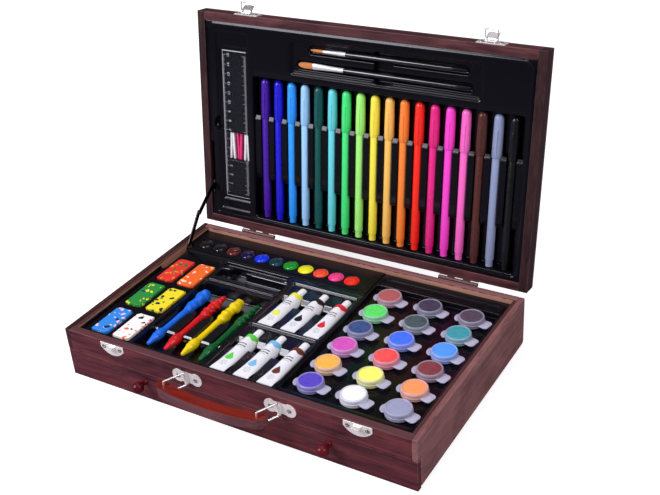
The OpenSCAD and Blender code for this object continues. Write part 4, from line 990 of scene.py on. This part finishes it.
TUBE_TINTS = lit((92, 214, 70), (122, 190, 232), (108, 50, 34),
                 (240, 240, 80), (24, 22, 26), (222, 34, 48))


def tube_section(y):
    """Half width, half height and middle height of the tube at a distance from its crimp."""
    t = max(0.0, min(1.0, (y - 4) / (TUBE_BODY - 4)))
    s = sin(t * pi / 2) ** 0.9
    return 8.0 - 0.5 * t, 0.45 + (TUBE_R - 0.45) * s, 5.6 * (1 - s)


def tube_surface(x, y, proud):
    half_w, half_h, mid = tube_section(y)
    return (x, y, mid + half_h * sqrt(max(0.0, 1 - (x / (half_w + 0.01)) ** 2)) + proud)


def tube_form():
    sides = 28
    rings = [(y, *tube_section(y)) for y in
             [0, 0.6, 2, 4] + [4 + (TUBE_BODY - 4) * k / 14 for k in range(1, 15)]]
    rings += [(TUBE_BODY + along, radius, radius, 0)
              for radius, along in ((6.4, 1.2), (5.0, 2.0), (4.4, 2.5))]
    turns = [2 * pi * k / sides for k in range(sides)]
    return lofted([[(half_w * cos(a), y, mid + half_h * sin(a)) for a in turns]
                   for y, half_w, half_h, mid in rings], sides, capped=True)


def shoulder_band_form():
    """The coloured band round the shoulder, with its edge running down in waves."""
    sides = 60
    low, high = [], []
    for k in range(sides):
        angle = 2 * pi * k / sides
        y = 52.4 + 1.1 * sin(5 * angle) + 0.7 * sin(3 * angle + 1)
        for store, at in ((low, y), (high, TUBE_BODY + 0.1)):
            half_w, half_h, mid = tube_section(min(at, TUBE_BODY))
            store.append(((half_w + 0.12) * cos(angle), at, mid + (half_h + 0.12) * sin(angle)))
    form = lofted([low, high], sides)
    bmesh.ops.solidify(form, geom=form.faces[:], thickness=0.1)
    return form


def patch(width_at, y0, y1, steps, across, proud=0.07):
    """A thin print on the tube, as wide at each distance as width_at says."""
    form = bmesh.new()
    rows = []
    for i in range(steps + 1):
        y = y0 + (y1 - y0) * i / steps
        left, right = width_at(y)
        rows.append([form.verts.new(tube_surface(left + (right - left) * j / across, y, proud))
                     for j in range(across + 1)])
    for first, second in zip(rows, rows[1:]):
        for j in range(across):
            form.faces.new((first[j], first[j + 1], second[j + 1], second[j]))
    bmesh.ops.remove_doubles(form, verts=form.verts, dist=1e-4)
    bmesh.ops.solidify(form, geom=form.faces[:], thickness=0.04)
    return form


def drop_form():
    def width(y):
        t = (y - 20) / 3.8
        half = 3.8 * sqrt(max(0.0, 1 - t * t)) if t < 0.35 else 3.56 * max(0.0, 1 - (y - 21.33) / 6)
        return -half, half
    return patch(width, 16.25, 27.3, 20, 6)


def dash_rows_form(rows, height):
    """Rows of short plain dashes where print would sit. rows: (distance, dash ends)."""
    dashes = [patch(lambda _, a=left, b=right: (a, b), y, y + height, 1, 2)
              for y, marks in rows for left, right in marks]
    return joined(*dashes)


TITLE_ROWS = ((42.0, ((-4.2, -2.6), (-2.2, -0.8), (-0.4, 1.4), (1.8, 4.0))),
              (38.6, ((-4.8, -3.0), (-2.6, -1.6), (-1.2, 0.6), (1.0, 2.2), (2.6, 4.6))))
SMALL_ROWS = ((36.4, ((-3.2, -0.6), (0.0, 2.8))), (13.8, ((-2.2, -0.2), (0.4, 2.0))),
              (12.2, ((-3.6, -1.2), (-0.6, 1.2), (1.8, 3.4))), (10.6, ((-3.0, 0.2), (0.8, 2.6))),
              (9.0, ((-3.6, -2.0), (-1.4, 1.0), (1.6, 3.6))), (7.4, ((-1.8, 1.6),)))


def make_tubes():
    places = [(x, y, BED_Z + TUBE_R) for y in TUBE_Y for x in TUBE_X]
    titles, faint, white, bright = lit((104, 104, 116), (172, 172, 180), (240, 240, 244),
                                       (250, 250, 252))
    copies("paint_tube_bodies", tube_form(), unturned(places, [white] * 6), TUBE_WHITE,
           IN_CASE, ("paint_tubes",))
    for name, form, tints in (("shoulder_bands", shoulder_band_form(), TUBE_TINTS),
                              ("colour_drops", drop_form(), TUBE_TINTS),
                              ("title_rows", dash_rows_form(TITLE_ROWS, 1.5), [titles] * 6),
                              ("small_rows", dash_rows_form(SMALL_ROWS, 0.6), [faint] * 6)):
        copies("paint_tube_" + name, form, unturned(places, tints), PRINT, IN_CASE)
    cap = [(0, 0), (4.7, 0), (4.9, 0.3), (4.9, 1.2), (4.6, 1.4), (4.55, 9.4), (4.3, 11.2),
           (3.8, 11.9), (2.6, 12), (0, 12)]
    ribbed = lathe(cap, 48, lambda a, y: 1 - 0.02 * (1 + cos(24 * a)) * (1.3 < y < 11))
    copies("paint_tube_caps", ribbed,
           unturned([(x, y + TUBE_BODY + 2.6, z) for x, y, z in places], [bright] * 6),
           BRIGHT, IN_CASE, ("tube_caps",))


POT_TINTS = lit(
    (70, 38, 190), (252, 182, 42), (218, 64, 186), (6, 50, 124), (72, 230, 86), (174, 72, 72),
    (250, 250, 252), (255, 252, 100), (252, 60, 62), (16, 104, 250), (22, 68, 70), (20, 16, 54),
    (150, 154, 186), (255, 152, 82), (122, 20, 28), (52, 152, 252), (8, 152, 164), (70, 44, 64))


def pot_lid_form():
    """The lid's drum: flange at the foot, upright wall and rounded rim."""
    profile = [(10.2, 3.9), (10.3, 4.5), (10.5, 4.85), (10.9, 5), (11.3, 4.92), (11.8, 4.5),
               (12.1, 3.9), (12.15, 2.6), (12.1, 1.25), (12.35, 1.0), (12.5, 0.75), (12.5, 0.15),
               (12.4, 0), (11.3, 0), (11.2, 0.2), (11.2, 3.8), (10.2, 3.9)]
    return stood_up(lathe(profile, 44))


def pot_window_form():
    """The disc inside the drum's rim, with paint clinging to it."""
    return stood_up(lathe([(0, 4.42), (6, 4.46), (9.9, 4.5), (10.25, 4.4), (10.25, 4), (0, 4)],
                          40))


def flap_form(outline, thick):
    """A flap that starts at the drum's wall, thicker along its edge."""
    start = [(12.45 * cos(a), 12.45 * sin(a)) for a in
             (radians(d) for d in range(28, -29, -7))]
    return slab(list(outline) + start, 0, thick, 0.25)


def make_pots():
    cup = [(0, 0), (9.3, 0), (9.5, 0.2), (10.35, 9.3), (10.4, 9.5), (12, 9.6), (12.2, 9.8),
           (12.2, 11.7), (11.9, 11.85), (9.7, 11.85), (9.5, 11), (8.7, 0.8), (0, 0.8)]
    paint = [(0, 0), (8.4, 0), (9.1, 8), (9.2, 9.6), (9.0, 9.9), (0, 9.9)]
    for name, form, height, look, slot, node in (
            ("cup_walls", stood_up(lathe(cup, 36)), BED_Z, POT_SIDE, "pot_plastic", "pot_cups"),
            ("paint_fill", stood_up(lathe(paint, 32)), BED_Z + 0.9, PAINT, "pot_paint",
             "pot_paint"),
            ("lid_drums", pot_lid_form(), POT_RIM, POT_SIDE, "pot_plastic", "pot_lids"),
            ("lid_discs", pot_window_form(), POT_RIM, POT_TOP, "pot_plastic", "pot_lids")):
        places = unturned([(x, y, height) for x, y in POT_PLACES], POT_TINTS)
        copies("pot_" + name, form, places, look, IN_CASE, (node,))
    tab = [(14.6, -6.1), (17.4, -6.1), (19.2, -5.2), (20, -3.6), (20, 3.6), (19.2, 5.2),
           (17.4, 6.1), (14.6, 6.1)]
    wing = [(13.4, -6.1), (15.9, -3.3), (16.6, 0), (15.9, 3.3), (13.4, 6.1)]
    for name, outline, thick, turn, seed in (("tabs", tab, 1.0, -12, 4),
                                             ("wings", wing, 0.8, 188, 5)):
        places = [((x, y, POT_RIM), (0, 0, radians(turn)), tint)
                  for (x, y), tint in zip(POT_PLACES, POT_TINTS)]
        copies("pot_lid_" + name, flap_form(outline, thick), places, POT_MILKY, IN_CASE,
               wobble=0.06, seed=seed)


# ---- Supplies in the lid ----
MARKER_TINTS = lit(
    (68, 18, 156), (22, 16, 208), (44, 156, 254), (158, 210, 254), (6, 84, 80), (104, 216, 226),
    (70, 232, 124), (166, 248, 124), (254, 236, 74), (254, 196, 96), (254, 136, 50),
    (254, 38, 22), (234, 36, 132), (254, 68, 206), (254, 106, 198), (82, 40, 34),
    (142, 152, 186), (12, 11, 14))


def make_markers():
    barrel = [(0, 0), (3.2, 0), (3.45, 0.25), (3.5, 6.9), (3.6, 7.1), (4.1, 7.2), (4.2, 7.6),
              (4.2, 108.4), (4.0, 108.9), (4.0, BARREL_L), (0, BARREL_L)]
    cap = [(0, 0), (4.7, 0), (4.9, 0.3), (4.85, 12), (4.72, 25), (4.5, 34)]
    cap += [(1.4 + 3.1 * cos(radians(a)), 36.4 + 4.5 * sin(radians(a))) for a in range(5, 91, 17)]
    cap += [(0, 41)]
    clip = block((-1.3, 1.2, 4.2), (1.3, 27, 5.25), 0.4, 3)
    for name, form, y, node in (
            ("barrel", lathe(barrel, 28), MARKER_Y, "marker_barrels"),
            ("cap", joined(lathe(cap, 28), clip), MARKER_Y + BARREL_L, "marker_caps")):
        places = unturned([(x, y, MARKER_Z) for x in MARKER_X], MARKER_TINTS)
        copies(f"marker_{name}_row", form, places, BRIGHT, IN_LID, (node,))


def make_brushes():
    black, silver, hair = lit((20, 19, 24), (225, 225, 230), (214, 130, 62))

    def along_x(brush, z):
        """The body and frame of a brush that lies along +X with its tip at the start."""
        return "lid", (LID_TRAY @ Matrix.Translation((brush[0], brush[1], z))
                       @ Matrix.Rotation(-pi / 2, 4, "Z"))

    def lay(name, form, tint, look, home, node):
        copies(name, form, unturned([(0, 0, 0)], [tint]), look, home, (node,), crease=50)
    small, flat = along_x(SMALL_BRUSH, -4.35), along_x(FLAT_BRUSH, -4.15)
    for name, profile, home in (
            ("small", [(0, 40), (2.0, 40), (2.2, 46), (2.6, 63), (2.2, 90), (1.4, 150),
                       (1.2, 165), (0, 166)], small),
            ("flat", [(0, 51.6), (2.2, 51.6), (2.4, 58), (2.8, 75), (2.4, 100), (1.5, 168),
                      (1.2, 183), (0, 184.3)], flat)):
        lay(name + "_brush_handle", lathe(profile), black, LACQUER, home,
            "brush_handles")
    lay("small_brush_ferrule", lathe([(0, 15), (1.5, 15), (1.65, 22), (2.0, 33), (2.25, 33.5),
                                      (2.05, 34.4), (2.1, 40), (0, 40)]), silver, FERRULE,
        small, "brush_ferrules")
    lay("small_brush_hair", lathe([(0, 0), (0.5, 0.8), (1.3, 4), (1.55, 9), (1.4, 15.2),
                                   (0, 15.2)], 20), hair, HAIR, small,
        "brush_bristles")

    def flattened(profile, wide, thin, pointed=False):
        form = lathe(profile, 28)
        for vertex in form.verts:
            t = 0 if pointed else min(1, max(0, (vertex.co.y - 17) / 18))
            vertex.co.x *= wide + (1 - wide) * t
            vertex.co.z *= thin + (1 - thin) * t
        return form
    lay("flat_brush_ferrule", flattened([(0, 16.8), (2.3, 16.8), (2.35, 17.4), (2.3, 42),
                                         (2.5, 42.6), (2.3, 43.4), (2.3, 51.6), (0, 51.6)],
                                        1.38, 0.6), silver, FERRULE, flat,
        "brush_ferrules")
    lay("flat_brush_hair", flattened([(0, 0), (0.9, 0.3), (1.7, 2.2), (2.3, 6), (2.35, 12),
                                      (2.2, 17), (0, 17)], 1.34, 0.5, True), hair, HAIR,
        flat, "brush_bristles")


def numeral_mesh(number):
    text = bpy.data.curves.new("numeral", "FONT")
    text.body = str(number)
    text.size = 4.2
    text.extrude = 0.03
    text.align_x = text.align_y = "CENTER"
    holder = add_object("numeral", text)
    bpy.context.view_layer.update()
    mesh = bpy.data.meshes.new_from_object(
        holder.evaluated_get(bpy.context.evaluated_depsgraph_get()))
    bpy.data.objects.remove(holder)
    bpy.data.curves.remove(text)
    return mesh


def make_ruler():
    eased("ruler", 0.25, RULER_CLEAR)
    right, far, rim = RULER_X + RULER_W, RULER_Y + 160, RULER_TOP - 1.3
    # Pale strips along the ruler's far, near and left edges: painted highlights where light catches
    # the clear edges.
    for name, (x0, y0), (x1, y1), thick in (
            ("far", (RULER_X + 0.3, far - 1.1), (right - 0.3, far - 0.2), 0.5),
            ("near", (RULER_X + 0.3, RULER_Y + 0.2), (right - 0.3, RULER_Y + 0.6), 0.3),
            ("left", (RULER_X + 0.1, RULER_Y + 0.5), (RULER_X + 0.5, far - 0.5), 0.3)):
        copies(f"ruler_{name}_edge", block((x0, y0, rim), (x1, y1, rim + thick), 0.1, 1),
               unturned([(0, 0, 0)], [(1, 1, 1, 1)]), RULER_EDGE_HIGHLIGHT, IN_LID)
    pale = srgb(196, 196, 204)
    for side, x, z, turn in (
            ("left", RULER_X + 0.8, RULER_TOP + 0.02, (0, 0, 0)),
            ("right", right - 0.8, RULER_TOP - 0.93, (0, -atan2(1.1, 6), pi))):
        for size, length, chosen in (("long", 4.4, lambda k: k % 10 == 0),
                                     ("middle", 3.2, lambda k: k % 10 == 5),
                                     ("short", 2.1, lambda k: k % 5)):
            places = [((x, RULER_Y + 5 + k, z), turn, pale) for k in range(151) if chosen(k)]
            copies(f"ruler_{side}_{size}_ticks", block((0, -0.11, 0), (length, 0.11, 0.04)),
                   places, PRINT, IN_LID)
    digits = bmesh.new()
    for number in range(1, 16):
        mesh = numeral_mesh(number)
        mesh.transform(Matrix.Translation((RULER_X + 8.2, RULER_Y + 5 + number * 10,
                                           RULER_TOP + 0.04)) @ Matrix.Rotation(pi / 2, 4, "Z"))
        digits.from_mesh(mesh)
        bpy.data.meshes.remove(mesh)
    copies("ruler_numerals", digits, unturned([(0, 0, 0)], [pale]), PRINT, IN_LID)


def make_pegs():
    """Three small clothes-pegs: two leaning legs each, held by a wire spring."""
    white, pink, green = lit((244, 242, 244), (236, 40, 120), (30, 120, 50))
    outline = [(3.6, 0), (1.5, 0), (0.3, PEG_L * 0.6), (0.3, PEG_L - 0.6), (0.9, PEG_L),
               (2.3, PEG_L), (2.6, PEG_L * 0.6)]
    legs = [slab([(side * x, y) for x, y in outline], 0.1, 3.9, 0.25) for side in (-1, 1)]
    places = [((x, PEG_Y + (PEG_L if turned else 0), PEG_FLOOR), (0, 0, pi if turned else 0),
               pink if turned else white) for x, turned in zip(PEG_X, (0, 1, 0))]
    copies("peg_legs", joined(*legs), places, BRIGHT, IN_LID, ("mini_pegs",))
    ring = lathe([(0.7, 0), (1.25, 0), (1.25, 2.4), (0.7, 2.4), (0.7, 0)], 14)
    steel = (0.3, 0.3, 0.32, 1)
    places = [(x, PEG_Y + PEG_L * share - 1.2, PEG_FLOOR + 2)
              for x, share in zip(PEG_X, (0.58, 0.42, 0.58))]
    copies("peg_springs", ring, unturned(places, (steel, green, steel)), PRINT, IN_LID)


# ---- Hardware ----
def screw_form(radius):
    """A pan head with a cross recess."""
    form = stood_up(lathe([(0, 0), (radius, 0), (radius, 0.4), (radius * 0.92, 0.7),
                           (radius * 0.7, 0.95), (radius * 0.4, 1.08), (0, 1.1)], 20))
    low = 0.62
    for turn in (0, pi / 2):
        for vertex in form.verts:
            spun = Matrix.Rotation(turn, 3, "Z") @ vertex.co
            if abs(spun.y) < radius * 0.16 and abs(spun.x) < radius * 0.75 and spun.z > low:
                vertex.co.z = low
    return form


def screw_places(xs, steps, y, z, turn):
    return [((x + step, y, z), (turn, 0, 0), (0, 0, 0, 1)) for x in xs for step in steps]


def make_screws():
    plate, catch, hinge = (-9.6, 9.6), (-9.4, 9.4), (-41.5 / 3, 0, 41.5 / 3)
    spots = (screw_places(HANDLE_X, plate, FRONT_Y - 0.8, HANDLE_Z, pi / 2)
             + screw_places(CATCH_X, catch, FRONT_Y - 0.8, CASE_H - 5, pi / 2)
             + screw_places(HINGE_X, hinge, REAR_Y + 0.75, 45.2, -pi / 2))
    copies("case_screw_heads", screw_form(2.1), spots, SCREW_METAL,
           ("case", Matrix.Identity(4)), ("case_screws",))
    spots = (screw_places(CATCH_X, catch, REAR_Y - FRONT_Y + 0.8, -5, -pi / 2)
             + screw_places(HINGE_X, hinge, -0.75, -8, pi / 2))
    copies("lid_screw_heads", screw_form(2.1), spots, SCREW_METAL, ON_LID,
           ("lid_screws",))


def make_metal():
    for node in ("catch_plates", "handle_plates", "latch_plates"):
        eased(node, 0.18, PLATE_NICKEL)
    for node in ("latch_lever_left", "latch_lever_right", "latch_loop_left", "latch_loop_right"):
        eased(node, 0.18, NICKEL)
    # Hinges and stay pins take the metal whose brown is a painted reflection of the wood.
    for node in ("hinge_case_leaves", "hinge_lid_leaves", "stay_case_pin", "stay_lid_pin"):
        eased(node, 0.15, BROWN_REFLECTION_METAL)
    eased("hinge_pins", 0.1, STEEL_PIN)
    for node in ("stay_lower_link", "stay_upper_link"):
        eased(node, 0.2, STAY_BLACK)


def make_bails():
    lean = radians(27)
    out = Vector((-sin(lean), -cos(lean), 0)) * 21.6
    up = Vector((0, 0, 6.8))
    for side, x in zip(("left", "right"), HANDLE_X):
        foot = Vector((x, FRONT_Y - 2.4, HANDLE_Z))
        path = [foot + out - up + Vector((0, 0, 4.3)), foot + out - up, foot - up, foot + up,
                foot + out + up, foot + out + up - Vector((0, 0, 6.7))]
        name = "handle_bail_" + side
        line = bpy.data.meshes.new(name + " path")
        line.from_pydata(path, [(i, i + 1) for i in range(len(path) - 1)], [])
        grow(name + "_wire", line, WIRE, {"Radius": 0.9, "Bend": 1.3, "Sides": 14}, NICKEL,
             ("bail_" + side, Matrix.Identity(4)), (name,))


def make_grip():
    grip = eased("handle_grip", 0.5, GRIP_FINISH, 3)
    # Faces turned upwards keep the red varnish; the others take the painted sheen of the sides.
    upper = grip.data.attributes.new("upper", "FLOAT", "FACE")
    for face in grip.data.polygons:
        upper.data[face.index].value = float(face.normal.z > 0.6)


# ---- Studio ----
def make_floor():
    floor = bmesh.new()
    bmesh.ops.create_grid(floor, x_segments=1, y_segments=1, size=40)
    mesh = bpy.data.meshes.new("studio_floor")
    floor.to_mesh(mesh)
    floor.free()
    paper = Finish("white studio paper", Roughness=0.9, Specular_IOR_Level=0.0)
    rays = paper.node("LightPath").outputs
    paper.feed("Base Color", paper.mix(rays["Is Glossy Ray"], (0.8, 0.8, 0.8, 1),
                                       (0.16, 0.16, 0.19, 1)))
    seen = paper.math("MAXIMUM", rays["Is Camera Ray"], rays["Is Transmission Ray"])
    paper.shader.inputs["Emission Color"].default_value = (1, 1, 1, 1)
    away = paper.node("VectorMath", {0: paper.place()}, operation="LENGTH").outputs["Value"]
    paper.feed("Emission Strength",
               paper.math("MULTIPLY", seen, paper.span(away, 0.6, 2.0, 0.6, 1.0)))
    mesh.materials.append(paper.material)
    add_object("studio_floor", mesh)


WORLD_LEVEL, WORLD_GLOSS = 0.3, 0.08


def make_world():
    world = bpy.data.worlds.new("studio")
    world.use_nodes = True
    bpy.context.scene.world = world
    tree = world.node_tree
    ground = tree.nodes["Background"]
    ground.inputs["Color"].default_value = (1, 1, 1, 1)
    rays = add_node(tree, "ShaderNodeLightPath").outputs
    strength = WORLD_LEVEL
    for name, level in (("Is Camera Ray", 1.0), ("Is Transmission Ray", 1.0),
                        ("Is Glossy Ray", WORLD_GLOSS)):
        strength = add_node(tree, "ShaderNodeMapRange", {
            "Value": rays[name], "To Min": strength, "To Max": level}).outputs["Result"]
    tree.links.new(strength, ground.inputs["Strength"])


LAMPS = (  # name, place, aimed at, width, height, watts
    ("left softbox", (-0.84, -1.05, 1.09), (0, 0, 0.06), 0.72, 0.9, 26),
    ("right softbox", (1.24, -0.24, 1.14), (0, 0, 0.08), 0.6, 0.6, 9),
    ("overhead", (0.0, 0.3, 1.8), (0, 0, 0.05), 1.0, 1.0, 5))


def make_lamps():
    for name, place, target, width, height, power in LAMPS:
        lamp = bpy.data.lights.new(name, "AREA")
        lamp.shape = "RECTANGLE"
        lamp.size = width
        lamp.size_y = height
        lamp.energy = power
        lamp.color = (0.93, 0.92, 1)
        holder = add_object(name, lamp)
        aim = Vector(target) - Vector(place)
        holder.matrix_world = (Matrix.Translation(place)
                               @ aim.to_track_quat("-Z", "Y").to_matrix().to_4x4())


def make_camera():
    """The camera's heading, height and roll in degrees, and its place in millimetres."""
    heading, height, roll = radians(34.145), radians(30.593), radians(-5.158)
    place = Vector((480.705, -691.331, 604.340)) * MM
    ahead = Vector((-sin(heading) * cos(height), cos(heading) * cos(height), -sin(height)))
    right = ahead.cross(Vector((0, 0, 1))).normalized()
    up = right.cross(ahead)
    side = right * cos(roll) + up * sin(roll)
    top = up * cos(roll) - right * sin(roll)
    lens = bpy.data.cameras.new("camera")
    lens.sensor_width = 36
    lens.lens = 57.528
    lens.shift_x = 0.04729
    lens.shift_y = 0.02601
    lens.clip_start = 0.01
    holder = add_object("camera", lens)
    turned = Matrix((side, top, -ahead)).transposed().to_4x4()
    holder.matrix_world = Matrix.Translation(place) @ turned
    bpy.context.scene.camera = holder


for make in (make_camera, make_boards, make_knobs, make_case_trays, make_lid_tray, make_erasers,
             make_crayons, make_pans, make_tubes, make_pots, make_markers, make_brushes,
             make_ruler, make_pegs, make_screws, make_metal, make_bails, make_grip, make_floor,
             make_world, make_lamps):
    make()

bpy.context.scene.view_settings.view_transform = "Standard"
